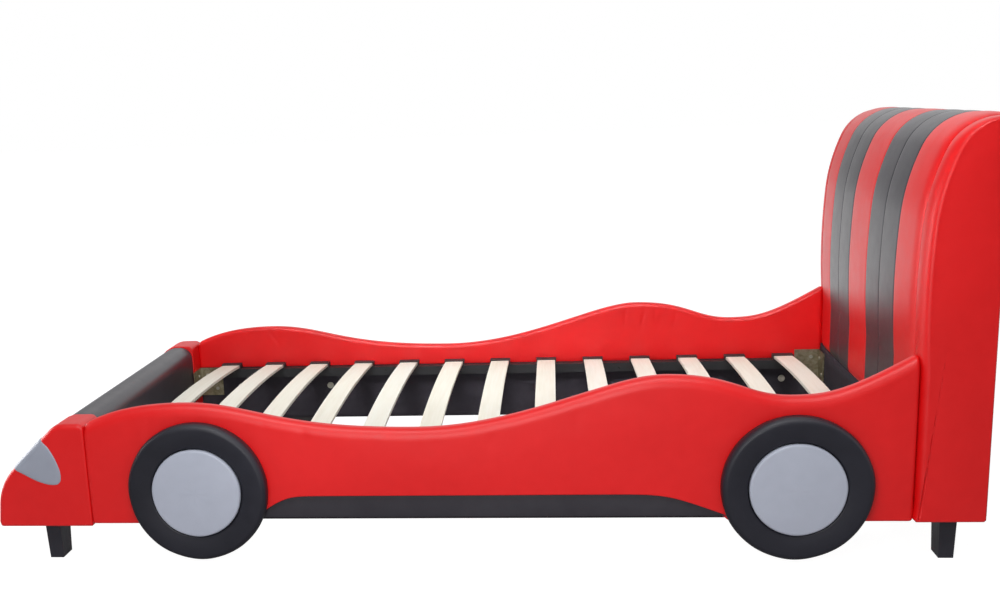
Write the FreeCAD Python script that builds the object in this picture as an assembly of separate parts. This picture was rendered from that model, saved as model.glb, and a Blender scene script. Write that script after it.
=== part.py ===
"""Car bed for children: an upholstered single bed shaped like a small sports car.

Frame: millimetres, +X towards the headboard, -X is the nose, +Z up, origin on the floor at
the middle of the bed's outline. Left and right are the car's own, so left is -Y.
"""
import FreeCAD, Part
import math
import os

V = FreeCAD.Vector

# ---------------------------------------------------------------- lying space
inner_length = 1906.0          # rails between nose and wings; 1900 clear to the proud panels
inner_width = 906.0            # rail to rail, for a 900 mattress

# ---------------------------------------------------------------- side rails
rail_outer_pad = 16.0          # padding outside the rail board
rail_board = 15.0              # rail board thickness
rail_inner_pad = 9.0           # padding and lining inside the rail board
rail_top_pad = 12.0            # padding over the board's top edge
rail_under_wrap = 3.0          # cover folded under the board
rail_underside = 100.0         # rail's lower edge above the floor, higher under the sill
rail_top_roll = 15.0           # radius of the rounded top edges
lining_top = 266.0             # red cover ends here inside, black lining below
foot_end_height = 346.0        # heights of the wavy top edge
front_crest_height = 392.0
dip_height = 326.0
rear_crest_height = 442.0
valley_height = 390.0
head_end_height = 481.0
front_crest_from_nose = 240.0  # places of its crests and dips
dip_from_nose = 794.0
rear_crest_from_head = 545.0
valley_from_head = 265.0
foot_end_slope = 0.49          # rise per run where the edge leaves the nose
head_end_slope = 0.57          # and where it meets the headboard

# ---------------------------------------------------------------- dark sill inserts
sill_bottom = 111.0            # also the rail's lower edge between the sill's ends
sill_height = 55.0
sill_thickness = 5.0
sill_from_nose = 392.0         # lower front corner
sill_from_head = 394.0         # lower rear corner
sill_front_slant = 88.0        # length of the sloping front end
sill_rear_slant = 145.0        # length of the sloping rear end
sill_corner = 120.0            # radius of the two upper corners
sill_seam = 0.5                # gap to the cover's cut edge

# ---------------------------------------------------------------- slatted base
slat_count = 13
slat_width = 53.0
slat_thickness = 8.0
slat_bow = 18.7                # rise of the sprung slat at mid-span
slat_margin = 110.0            # first slat's centre from the nose
slat_pitch = 140.0
slat_side_gap = 6.0            # slat end to the rail lining
ledge_width = 28.0
ledge_depth = 27.0
ledge_end_gap = 92.0           # ledge stops short of the corner brackets
cap_length = 26.0              # plastic cap along the slat
cap_wall = 3.0
cap_fit = 0.3                  # slat in its cap

# ---------------------------------------------------------------- wheels
tyre_radius = 168.0
tyre_inner_radius = 108.5
tyre_stand = 33.0              # tyre's proudest face from the rail
tyre_roll = 15.0               # rounded outer edge of the tyre
hub_radius = 107.0
hub_stand = 34.0               # hubcap's rim from the rail
hub_crown = 4.0                # extra rise at the hubcap's middle
hub_roll = 7.0                 # rounded rim of the hubcap
hub_middle = 16.0              # radius of the level middle of its crown
backing_thickness = 12.0
backing_margin = 12.0          # tyre padding outside the backing board
wheel_height = 185.5           # wheel centre above the floor
front_wheel_from_nose = 273.0
rear_wheel_from_head = 257.0
wheel_bolt_offset = 143.0      # bolts either side of the wheel's centre
wheel_bolt_rise = 18.0         # bolts above the wheel's centre

# ---------------------------------------------------------------- nose
nose_length = 241.0
nose_height = 348.0
nose_hood_flat = 72.0          # level top, before the slope begins
nose_corner_height = 203.0     # where the slope would meet the front face
nose_front_lean = 14.0         # front face stands further out at its foot
nose_ridge_radius = 42.0
nose_brow_radius = 115.0
nose_chin_radius = 12.0
nose_heel_radius = 16.0        # upper rear edge of the red end sections
hood_heel_radius = 38.0        # upper rear edge of the hood and of the boards under it
nose_cap_width = 100.0         # red end sections
nose_pad = 13.0                # padding on the hood and end sections
nose_side_pad = 18.0           # padding outside the end ribs
nose_rear_pad = 6.0            # cover on the back of the nose
nose_edge_roll = 13.0          # rounded outer edges of the end sections
hood_recess = 3.0              # hood lies this far below the end sections
nose_board = 15.0              # boards inside the nose
lamp_from_ridge = 51.0         # headlight's start, down the slope from the hood's ridge
lamp_length = 104.0            # headlight's length along the slope
lamp_drop = 105.0              # how far its petal reaches below the slope
lamp_toe = 42.0                # width of the petal's rounded toe
lamp_toe_rise = 12.0           # roundness of the toe
lamp_toe_shift = 4.0           # toe's middle is this much nearer the hood
lamp_belly = 8.0               # outward swell of the petal's two long sides
lamp_square = 5.0              # sides leave the slope squarely down to this depth
lamp_reach = 84.0              # how far it wraps across the slope
lamp_thickness = 8.0

# ---------------------------------------------------------------- headboard
headboard_height = 991.0       # top of the striped panels
headboard_depth = 156.0
headboard_overhang = 9.0       # stands this far outside each rail
shoulder_radius = 474.0        # the upright front starts to lean back on this curve
shoulder_turn = 24.0           # degrees it has leant back where the crown's curve begins
crown_radius = 114.0           # tighter curve over the top
bulge = 6.5                    # front face swells this much
bulge_height = 320.0           # over this height
wing_width = 49.0              # padded side wings
wing_edge_roll = 30.0
wing_side_pad = 22.0
wing_pad = 14.0
panel_proud = 6.0              # striped panels stand this far outside the wings
panel_pad = 22.0
panel_roll = 4.0               # rounded long edges of each panel
crease_roll = 13.0             # deeper rounding where panel and wing meet
panel_foot = 310.0             # stripes end here, black lining below
centre_panel = 170.0
stripe_width = 115.0           # each of the four dark stripes
front_board = 6.0              # bent board behind the panels
frame_board = 18.0             # shelves of the headboard frame
bottom_bar = 40.0              # timber that the rear legs fasten to
shelf_heights = (330.0, 600.0, 860.0)
back_cover = 3.0
back_cover_margin = 12.0

# ---------------------------------------------------------------- legs and fittings
nose_underside = 93.0          # heights of the front and the rear legs
headboard_underside = 99.0
leg_foot = (33.0, 52.0)
leg_top = (38.0, 60.0)
front_leg_from_rear = 114.0    # leg centre forward of the nose's rear face
rear_leg_from_front = 86.0     # leg centre behind the headboard's front face
leg_from_side = 60.0           # leg centre inside the rail's outer face
bolt_radius = 4.0
leg_bolt_grip = 12.0           # bolt length in the frame above the leg
leg_bolt_depth = 45.0          # and down inside the leg
bolt_fit = 0.3
bracket_leg = 72.0
bracket_height = 88.0
bracket_thickness = 3.0
foot_bracket_bottom = 178.0
head_bracket_bottom = 203.0
bracket_notch = 5.0            # lining shows this far round the raised head brackets
bracket_clear = 0.3
screw_radius = 2.5
screw_head_radius = 5.0
screw_head = 2.5
screw_length = 18.0
washer_radius = 10.0
washer_thickness = 2.0
bolt_head_radius = 6.5
bolt_head = 4.0

# ---------------------------------------------------------------- worked-out places
rail_thickness = rail_outer_pad + rail_board + rail_inner_pad
rail_inner_y = inner_width / 2
rail_outer_y = rail_inner_y + rail_thickness
board_outer_y = rail_outer_y - rail_outer_pad
board_inner_y = board_outer_y - rail_board
headboard_half = rail_outer_y + headboard_overhang
total_length = nose_length + inner_length + headboard_depth + back_cover
nose_tip_x = -total_length / 2
nose_rear_x = nose_tip_x + nose_length
head_front_x = nose_rear_x + inner_length
head_rear_x = head_front_x + headboard_depth
leg_heights = {"front_legs": nose_underside, "rear_legs": headboard_underside}
panel_half = headboard_half - wing_width
sill_lift = sill_bottom - rail_underside
ledge_top = lining_top
front_wheel_x = nose_rear_x + front_wheel_from_nose
rear_wheel_x = head_front_x - rear_wheel_from_head
ledge_length = inner_length - 2 * ledge_end_gap
sides = {"left": -1, "right": 1}


# ---------------------------------------------------------------- outlines in the XZ plane
def point(x, z):
    return V(x, 0, z)


def rounded_wire(corners):
    """Closed wire through (x, z, radius) corners, each rounded by an arc tangent to both sides."""
    edges = []
    starts = []
    ends = []
    for index, (x, z, radius) in enumerate(corners):
        here = point(x, z)
        before = point(*corners[index - 1][:2]) - here
        after = point(*corners[(index + 1) % len(corners)][:2]) - here
        before.normalize()
        after.normalize()
        half = before.getAngle(after) / 2
        reach = radius / math.tan(half)
        starts.append(here + before * reach)
        ends.append(here + after * reach)
        if radius > 0:
            middle = before + after
            middle.normalize()
            top = here + middle * (radius / math.sin(half) - radius)
            edges.append(Part.Arc(starts[-1], top, ends[-1]).toShape())
    for index, end in enumerate(ends):
        edges.append(Part.makeLine(end, starts[(index + 1) % len(starts)]))
    return Part.Wire(Part.__sortEdges__(edges))


def inset_corners(corners, insets):
    """Corners of a clockwise outline, side i (from corner i to the next) moved in by insets[i]."""
    lines = []
    for index, inset in enumerate(insets):
        start = point(*corners[index][:2])
        end = point(*corners[(index + 1) % len(corners)][:2])
        along = end - start
        along.normalize()
        inward = V(along.z, 0, -along.x)
        lines.append((start + inward * inset, along, inset))
    moved = []
    for index, (x, z, radius) in enumerate(corners):
        base, along, inset = lines[index - 1]
        other, across, other_inset = lines[index]
        gap = other - base
        share = (gap.x * across.z - gap.z * across.x) / (along.x * across.z - along.z * across.x)
        corner = base + along * share
        moved.append((corner.x, corner.z, max(radius - max(inset, other_inset), 0)))
    return moved


def slab(wire, y_from, y_to):
    """Solid between two planes of constant Y, with the wire as its side view."""
    face = Part.Face(wire)
    face.translate(V(0, min(y_from, y_to), 0))
    return face.extrude(V(0, abs(y_to - y_from), 0))


def block(x_from, x_to, y_from, y_to, z_from, z_to):
    low = V(min(x_from, x_to), min(y_from, y_to), min(z_from, z_to))
    return Part.makeBox(abs(x_to - x_from), abs(y_to - y_from), abs(z_to - z_from), low)


def roll_edges(solid, y_plane, radius, keep):
    """Round the edges that lie in the plane Y = y_plane and whose middle passes keep()."""
    edges = []
    for edge in solid.Edges:
        box = edge.BoundBox
        middle = edge.valueAt((edge.FirstParameter + edge.LastParameter) / 2)
        if abs(box.YMin - y_plane) < 0.01 and abs(box.YMax - y_plane) < 0.01 and keep(middle):
            edges.append(edge)
    return solid.makeFillet(radius, edges)


# ---------------------------------------------------------------- side rails
def wave_edges(lowered):
    """Top edge of the rail as smooth curves from crest to dip, lowered by a given amount."""
    rear_crest = inner_length - rear_crest_from_head
    valley = inner_length - valley_from_head
    knots = [
        (0.0, foot_end_height, foot_end_slope, 0.0, 0.28),
        (front_crest_from_nose, front_crest_height, 0.0, 0.38, 0.30),
        (dip_from_nose, dip_height, 0.0, 0.62, 0.43),
        (rear_crest, rear_crest_height, 0.0, 0.22, 0.55),
        (valley, valley_height, 0.0, 0.36, 0.30),
        (inner_length, head_end_height, head_end_slope, 0.55, 0.0),
    ]
    edges = []
    for (at, height, slope, _, after), (far_at, far_height, far_slope, before, _) in zip(knots, knots[1:]):
        span = far_at - at
        start = point(nose_rear_x + at, height - lowered)
        end = point(nose_rear_x + far_at, far_height - lowered)
        curve = Part.BezierCurve()
        curve.setPoles([
            start,
            start + point(after * span, after * span * slope),
            end - point(before * span, before * span * far_slope),
            end,
        ])
        edges.append(curve.toShape())
    return edges


def sill_ends():
    """X of the sill's two lower corners."""
    return nose_rear_x + sill_from_nose, head_front_x - sill_from_head


def rail_wire(lowered, bottom):
    """Side view of the rail: wavy top, straight ends, and a lower edge that is raised under the sill."""
    top = wave_edges(lowered)
    front, rear = sill_ends()
    closing = Part.makePolygon([
        point(head_front_x, head_end_height - lowered),
        point(head_front_x, bottom),
        point(rear, bottom),
        point(rear, bottom + sill_lift),
        point(front, bottom + sill_lift),
        point(front, bottom),
        point(nose_rear_x, bottom),
        point(nose_rear_x, foot_end_height - lowered),
    ])
    return Part.Wire(top + closing.Edges)


def sill_corners(gap):
    """Side view of the sill: a long low shape with sloping ends."""
    front, rear = sill_ends()
    top = sill_bottom + sill_height
    corners = [
        (front, sill_bottom, 0),
        (front + sill_front_slant, top, sill_corner),
        (rear - sill_rear_slant, top, sill_corner),
        (rear, sill_bottom, 0),
    ]
    return inset_corners(corners, [gap] * len(corners))


def rail_board_solid(side):
    wire = rail_wire(rail_top_pad, rail_underside + rail_under_wrap)
    board = slab(wire, side * board_inner_y, side * board_outer_y)
    return board.cut(wheel_bolt_holes(side)).cut(rail_screw_holes(side))


def rail_cover_solid(side):
    """Red padded cover: outer face, rounded top, and inner face down to the lining."""
    cover = slab(rail_wire(0, rail_underside), side * rail_inner_y, side * rail_outer_y)

    def on_top(middle):
        return middle.z > sill_bottom + 1 and nose_rear_x + 1 < middle.x < head_front_x - 1

    for y_plane in (side * rail_inner_y, side * rail_outer_y):
        cover = roll_edges(cover, y_plane, rail_top_roll, on_top)
    core = rail_wire(rail_top_pad, rail_underside + rail_under_wrap)
    board = slab(core, side * board_inner_y, side * board_outer_y)
    window = slab(rounded_wire(sill_corners(0)), side * board_outer_y, side * rail_outer_y)
    return cover.cut(board).cut(lining_block(side)).cut(window).cut(wheel_bolt_holes(side))


def lining_block(side):
    """Room of the inside lining: up to its line, and higher behind the raised head bracket."""
    face_y = side * rail_inner_y
    back_y = side * board_inner_y
    low = block(nose_rear_x, head_front_x, face_y, back_y, rail_underside, lining_top)
    notch_x = head_front_x - panel_proud - bracket_leg - bracket_notch
    notch_z = max(head_bracket_bottom + bracket_height, lining_top) + bracket_notch
    notch = block(notch_x, head_front_x, face_y, back_y, rail_underside, notch_z)
    under_sill = block(*sill_ends(), face_y, back_y, rail_underside, sill_bottom)
    return low.fuse(notch).removeSplitter().cut(under_sill)


def rail_lining_solid(side):
    return lining_block(side).cut(wheel_bolt_holes(side)).cut(rail_screw_holes(side))


def sill_solid(side):
    wire = rounded_wire(sill_corners(sill_seam))
    return slab(wire, side * board_outer_y, side * (board_outer_y + sill_thickness))


# ---------------------------------------------------------------- fasteners
def pin(centre, axis, radius, length):
    return Part.makeCylinder(radius, length, centre, axis)


def wheel_bolt_places():
    """X of every wheel bolt on one rail."""
    places = []
    for wheel_x in (front_wheel_x, rear_wheel_x):
        places += [wheel_x - wheel_bolt_offset, wheel_x + wheel_bolt_offset]
    return places


def wheel_bolt_holes(side):
    """Clearance holes for the bolts that hold the wheels, right through the rail."""
    holes = []
    for x in wheel_bolt_places():
        start = V(x, side * (rail_inner_y - 1), wheel_height + wheel_bolt_rise)
        holes.append(pin(start, V(0, side, 0), bolt_radius + bolt_fit, rail_thickness + 2))
    return Part.makeCompound(holes)


def wheel_bolt_solids():
    """Bolts with a washer and a round head on the lining, each reaching into a wheel's backing board."""
    bolts = []
    shank = rail_thickness + backing_thickness * 0.75
    for side in sides.values():
        for x in wheel_bolt_places():
            seat = V(x, side * rail_inner_y, wheel_height + wheel_bolt_rise)
            outward = V(0, side, 0)
            washer = pin(seat - outward * washer_thickness, outward, washer_radius, washer_thickness)
            head = pin(seat - outward * (washer_thickness + bolt_head), outward, bolt_head_radius, bolt_head)
            bolts.append(washer.fuse([head, pin(seat, outward, bolt_radius, shank)]).removeSplitter())
    return bolts


def rail_screw_places():
    """Centres of the screws through the ledge and through the brackets on one rail, as (x, z, depth in)."""
    places = []
    count = 8
    first = nose_rear_x + ledge_end_gap + ledge_width
    step = (ledge_length - 2 * ledge_width) / (count - 1)
    for index in range(count):
        places.append((first + index * step, ledge_top - ledge_depth / 2, ledge_width))
    return places


def ledge_screw_holes(side):
    """Holes that the ledge's screws fill, from the ledge's face into the rail board."""
    holes = []
    for x, z, depth in rail_screw_places():
        start = V(x, side * (rail_inner_y - depth), z)
        holes.append(pin(start, V(0, side, 0), screw_radius, depth + rail_inner_pad + rail_board * 0.7))
        holes.append(pin(start, V(0, side, 0), screw_head_radius, screw_head))
    return Part.makeCompound(holes)


def ledge_screw_solids():
    """Countersunk screws that hold the ledges, their heads level with the ledge's face."""
    screws = []
    for side in sides.values():
        for x, z, depth in rail_screw_places():
            start = V(x, side * (rail_inner_y - depth), z)
            outward = V(0, side, 0)
            shank = pin(start, outward, screw_radius, depth + rail_inner_pad + rail_board * 0.7)
            head = pin(start, outward, screw_head_radius, screw_head)
            screws.append(shank.fuse(head).removeSplitter())
    return screws


def bracket_screw_rows(bottom):
    """Offsets along and heights of the screws in one bracket leg."""
    near = bracket_leg / 3
    far = bracket_leg * 3 / 4
    low = bottom + bracket_height / 4
    high = bottom + bracket_height * 3 / 4
    return [(near, high), (far, low)]


def bracket_corners():
    """The four inner corners as (x of the end wall, direction away from it, side, bracket's bottom)."""
    corners = []
    for side in sides.values():
        corners.append((nose_rear_x, 1, side, foot_bracket_bottom))
        corners.append((head_front_x - panel_proud, -1, side, head_bracket_bottom))
    return corners


def bracket_screw_axes():
    """Seat, direction and the side or end that each bracket screw enters."""
    axes = []
    standing = bracket_clear + bracket_thickness
    for wall_x, away, side, bottom in bracket_corners():
        for along, height in bracket_screw_rows(bottom):
            on_rail = V(wall_x + away * along, side * (rail_inner_y - standing), height)
            axes.append((on_rail, V(0, side, 0)))
            on_end = V(wall_x + away * standing, side * (rail_inner_y - along), height)
            axes.append((on_end, V(-away, 0, 0)))
    return axes


def bracket_screw_holes():
    holes = []
    for seat, direction in bracket_screw_axes():
        holes.append(pin(seat, direction, screw_radius, screw_length))
    return Part.makeCompound(holes)


def bracket_screw_solids():
    screws = []
    for seat, direction in bracket_screw_axes():
        shank = pin(seat, direction, screw_radius, screw_length)
        head = pin(seat - direction * screw_head, direction, screw_head_radius, screw_head)
        screws.append(shank.fuse(head).removeSplitter())
    return screws


def rail_screw_holes(side):
    return Part.makeCompound([ledge_screw_holes(side), bracket_screw_holes()])


def corner_bracket_solids():
    """Folded steel angle plates that join the rails to the nose and the headboard."""
    plates = []
    for wall_x, away, side, bottom in bracket_corners():
        inner = rail_inner_y - bracket_clear
        top = bottom + bracket_height
        wall = wall_x + away * bracket_clear
        along_rail = block(
            wall, wall + away * bracket_leg, side * inner, side * (inner - bracket_thickness), bottom, top
        )
        along_end = block(
            wall, wall + away * bracket_thickness, side * inner, side * (inner - bracket_leg), bottom, top
        )
        plates.append(along_rail.fuse(along_end).removeSplitter().cut(bracket_screw_holes()))
    return plates


# ---------------------------------------------------------------- slatted base
def ledge_solid(side):
    """Black batten along the rail's inner face that carries the slat caps."""
    start = nose_rear_x + ledge_end_gap
    batten = block(
        start, start + ledge_length, side * rail_inner_y, side * (rail_inner_y - ledge_width),
        ledge_top - ledge_depth, ledge_top,
    )
    return batten.cut(ledge_screw_holes(side))


def bowed_band(extra):
    """Sprung slat as an arched strip across the bed, grown by extra on every face, centred on X = 0."""
    half = inner_width / 2 - slat_side_gap - cap_wall + extra
    span = inner_width / 2 - slat_side_gap - cap_wall
    radius = (span ** 2 + slat_bow ** 2) / (2 * slat_bow)
    end_base = ledge_top + cap_wall
    centre = end_base + slat_thickness + slat_bow - radius
    outer = radius + extra
    inner = radius - slat_thickness - extra
    outer_drop = centre + math.sqrt(outer ** 2 - half ** 2)
    inner_drop = centre + math.sqrt(inner ** 2 - half ** 2)
    near_top = V(0, -half, outer_drop)
    far_top = V(0, half, outer_drop)
    near_low = V(0, -half, inner_drop)
    far_low = V(0, half, inner_drop)
    edges = [
        Part.Arc(near_top, V(0, 0, centre + outer), far_top).toShape(),
        Part.makeLine(far_top, far_low),
        Part.Arc(far_low, V(0, 0, centre + inner), near_low).toShape(),
        Part.makeLine(near_low, near_top),
    ]
    face = Part.Face(Part.Wire(edges))
    face.translate(V(-slat_width / 2 - extra, 0, 0))
    return face.extrude(V(slat_width + 2 * extra, 0, 0))


def slat_x(index):
    return nose_rear_x + slat_margin + index * slat_pitch


def slat_solid(index):
    slat = bowed_band(0)
    slat.translate(V(slat_x(index), 0, 0))
    return slat


def slat_cap_solids():
    """Plastic end caps on the ledges, one at each end of every slat, open towards the bed's middle."""
    caps = []
    pocket = bowed_band(cap_fit)
    width = slat_width + 2 * (cap_wall + cap_fit)
    height = slat_thickness + 2 * cap_wall + slat_bow * 0.12
    outer_y = inner_width / 2 - slat_side_gap
    for side in sides.values():
        cap = block(-width / 2, width / 2, side * outer_y, side * (outer_y - cap_length), ledge_top,
                    ledge_top + height)
        cap = cap.cut(pocket)
        for index in range(slat_count):
            placed = cap.copy()
            placed.translate(V(slat_x(index), 0, 0))
            caps.append(placed)
    return caps


# ---------------------------------------------------------------- wheels
def turned(profile, wheel_x, side):
    """Ring or disc turned about the wheel's axis from (radius, distance out of the rail) edges."""
    face = Part.Face(Part.Wire(profile))
    solid = face.revolve(V(0, 0, 0), V(0, 1, 0), 360)
    if side < 0:
        solid = solid.mirror(V(0, 0, 0), V(0, 1, 0))
    solid.translate(V(wheel_x, side * rail_outer_y, wheel_height))
    return solid


def radial(radius, out):
    return V(radius, out, 0)


def tyre_solid(wheel_x, side):
    """Padded black ring: flat back, crowned face, rounded outer and inner edges, over the backing board."""
    shoulder = tyre_stand - tyre_roll
    inner_roll = tyre_roll / 2
    mid = (tyre_radius + tyre_inner_radius) / 2
    turn = math.sqrt(0.5)
    outer_mid = radial(tyre_radius - tyre_roll * (1 - turn), shoulder + tyre_roll * turn)
    face_low = tyre_stand - inner_roll
    inner_mid = radial(tyre_inner_radius + inner_roll * (1 - turn), face_low - hub_crown + inner_roll * turn)
    backing = tyre_radius - backing_margin
    points = {
        "back_in": radial(tyre_inner_radius, backing_thickness),
        "back_step": radial(backing, backing_thickness),
        "step_foot": radial(backing, 0),
        "back_out": radial(tyre_radius, 0),
        "shoulder": radial(tyre_radius, shoulder),
        "face_out": radial(tyre_radius - tyre_roll, tyre_stand),
        "face_in": radial(tyre_inner_radius + inner_roll, tyre_stand - hub_crown),
        "lip": radial(tyre_inner_radius, face_low - hub_crown),
    }
    crown = radial(mid, tyre_stand - hub_crown * 0.3)
    profile = [
        Part.makeLine(points["back_in"], points["back_step"]),
        Part.makeLine(points["back_step"], points["step_foot"]),
        Part.makeLine(points["step_foot"], points["back_out"]),
        Part.makeLine(points["back_out"], points["shoulder"]),
        Part.Arc(points["shoulder"], outer_mid, points["face_out"]).toShape(),
        Part.Arc(points["face_out"], crown, points["face_in"]).toShape(),
        Part.Arc(points["face_in"], inner_mid, points["lip"]).toShape(),
        Part.makeLine(points["lip"], points["back_in"]),
    ]
    return turned(profile, wheel_x, side)


def hubcap_solid(wheel_x, side):
    """Padded silver disc with a rolled rim and a crowned face, level at the very middle."""
    turn = math.sqrt(0.5)
    rim_mid = radial(hub_radius - hub_roll * (1 - turn), hub_stand - hub_roll * (1 - turn))
    flat = hub_radius - hub_roll
    crown_mid = radial((flat + hub_middle) / 2, hub_stand + hub_crown * 0.75)
    centre_back = radial(0, backing_thickness)
    rim_back = radial(hub_radius, backing_thickness)
    rim_top = radial(hub_radius, hub_stand - hub_roll)
    face_edge = radial(flat, hub_stand)
    crown_top = radial(hub_middle, hub_stand + hub_crown)
    centre_top = radial(0, hub_stand + hub_crown)
    profile = [
        Part.makeLine(centre_back, rim_back),
        Part.makeLine(rim_back, rim_top),
        Part.Arc(rim_top, rim_mid, face_edge).toShape(),
        Part.Arc(face_edge, crown_mid, crown_top).toShape(),
        Part.makeLine(crown_top, centre_top),
        Part.makeLine(centre_top, centre_back),
    ]
    return turned(profile, wheel_x, side)


def backing_solids():
    """Round boards that carry the tyre and hubcap pads against the rails."""
    boards = []
    for side in sides.values():
        for wheel_x in (front_wheel_x, rear_wheel_x):
            centre = V(wheel_x, side * rail_outer_y, wheel_height)
            outward = V(0, side, 0)
            disc = pin(centre, outward, tyre_radius - backing_margin, backing_thickness)
            for offset in (-wheel_bolt_offset, wheel_bolt_offset):
                start = centre + V(offset, 0, wheel_bolt_rise) - outward
                disc = disc.cut(pin(start, outward, bolt_radius + bolt_fit, backing_thickness * 0.8 + 1))
            boards.append(disc)
    return boards


# ---------------------------------------------------------------- nose
def nose_corners(heel):
    """Side view of the nose, clockwise from its rear foot: heel, hood, slope, front face, chin."""
    ridge = nose_rear_x - nose_hood_flat
    brow = nose_tip_x + nose_front_lean
    return [
        (nose_rear_x, nose_underside, 0),
        (nose_rear_x, nose_height, heel),
        (ridge, nose_height, nose_ridge_radius),
        (brow, nose_corner_height, nose_brow_radius),
        (nose_tip_x, nose_underside, nose_chin_radius),
    ]


def nose_wire(skin, rear, floor=0, heel=hood_heel_radius):
    """The nose's side view moved in by skin on hood, slope and front, by rear behind, by floor below."""
    corners = nose_corners(heel)
    flipped = [(-x, z, radius) for x, z, radius in corners]
    moved = inset_corners(flipped, [rear, skin, skin, skin, floor])
    return rounded_wire([(-x, z, radius) for x, z, radius in moved])


def nose_end_block(side):
    """Outer form of one red end section, its outer edges rolled over."""
    half = rail_outer_y
    solid = slab(nose_wire(0, 0, heel=nose_heel_radius), side * (half - nose_cap_width), side * half)

    def rolled(middle):
        return middle.z > nose_underside + 1 and middle.x < nose_rear_x - 1

    return roll_edges(solid, side * half, nose_edge_roll, rolled)


def nose_core(side):
    """Room for the boards inside one end section."""
    half = rail_outer_y
    wire = nose_wire(nose_pad, nose_rear_pad)
    return slab(wire, side * (half - nose_cap_width), side * (half - nose_side_pad))


def lamp_petal(side):
    """Petal outline of a headlight, hung below the slope in the side view and carried across it.

    The petal has two long arcs that swell outwards and a rounded toe. A drum square to the slope
    rounds the lamp's inner end.
    """
    ridge = point(nose_rear_x - nose_hood_flat, nose_height)
    along = point(nose_tip_x + nose_front_lean, nose_corner_height) - ridge
    along.normalize()
    inward = V(-along.z, 0, along.x)
    middle = lamp_from_ridge + lamp_length / 2

    def spot(run, depth):
        return ridge + along * run + inward * depth

    start = lamp_from_ridge
    end = lamp_from_ridge + lamp_length
    toe = middle - lamp_toe_shift
    toe_start = toe - lamp_toe / 2
    toe_end = toe + lamp_toe / 2
    toe_depth = lamp_drop - lamp_toe_rise
    half_depth = toe_depth / 2
    above = -nose_ridge_radius
    outline = Part.Wire([
        Part.makeLine(spot(start, above), spot(start, lamp_square)),
        Part.Arc(
            spot(start, lamp_square),
            spot((start + toe_start) / 2 - lamp_belly, half_depth),
            spot(toe_start, toe_depth),
        ).toShape(),
        Part.Arc(spot(toe_start, toe_depth), spot(toe, lamp_drop), spot(toe_end, toe_depth)).toShape(),
        Part.Arc(
            spot(toe_end, toe_depth),
            spot((end + toe_end) / 2 + lamp_belly, half_depth),
            spot(end, lamp_square),
        ).toShape(),
        Part.makeLine(spot(end, lamp_square), spot(end, above)),
        Part.makeLine(spot(end, above), spot(start, above)),
    ])
    half = rail_outer_y
    petal = slab(outline, side * (half - lamp_reach), side * (half + 1))
    deep = spot(middle, lamp_drop * 2)
    drum = pin(V(deep.x, side * half, deep.z), inward * -1, lamp_reach, lamp_drop * 2 - above)
    return petal.common(drum)


def headlight_solid(side):
    """Silver pad let into the outer layer of a red end section."""
    half = rail_outer_y
    under = nose_wire(lamp_thickness, 0)
    inner = slab(under, side * (half - nose_cap_width), side * (half - lamp_thickness))
    return nose_end_block(side).cut(inner).common(lamp_petal(side))


def nose_end_solid(side):
    """Red padded end section with the headlight's seat cut into it."""
    return nose_end_block(side).cut(nose_core(side)).cut(headlight_solid(side)).cut(bracket_screw_holes())


def hood_solid():
    """Black centre cover over the slope, the hood and down the back of the nose."""
    half = rail_outer_y - nose_cap_width
    outer = slab(nose_wire(hood_recess, 0), -half, half)
    inner = slab(nose_wire(nose_pad, nose_rear_pad), -half, half)
    return outer.cut(inner)


def nose_frame_solids():
    """Boards inside the nose: two end ribs, bottom, back, and a bent deck under the hood and slope."""
    rib_outer = rail_outer_y - nose_side_pad
    rib_inner = rib_outer - nose_board
    boards = []
    for side in sides.values():
        rib = slab(nose_wire(nose_pad, nose_rear_pad), side * rib_inner, side * rib_outer)
        boards.append(rib.cut(bracket_screw_holes()))
    shell = slab(nose_wire(nose_pad, nose_rear_pad), -rib_inner, rib_inner)
    inside = nose_wire(nose_pad + nose_board, nose_rear_pad + nose_board, nose_board)
    hollow = slab(inside, -rib_inner, rib_inner)
    back = block(
        nose_rear_x - nose_rear_pad - nose_board, nose_rear_x, -rib_inner, rib_inner,
        nose_underside + nose_board, nose_height - nose_pad - nose_board,
    )
    floor_top = nose_underside + nose_board
    floor = block(nose_tip_x, nose_rear_x, -rib_inner, rib_inner, nose_underside, floor_top)
    walls = shell.cut(hollow)
    deck = walls.cut(back).cut(floor)
    back_board = walls.common(back).cut(bracket_screw_holes())
    floor_board = walls.common(floor).cut(leg_bolt_holes())
    return boards + [back_board, floor_board, deck]


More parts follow.
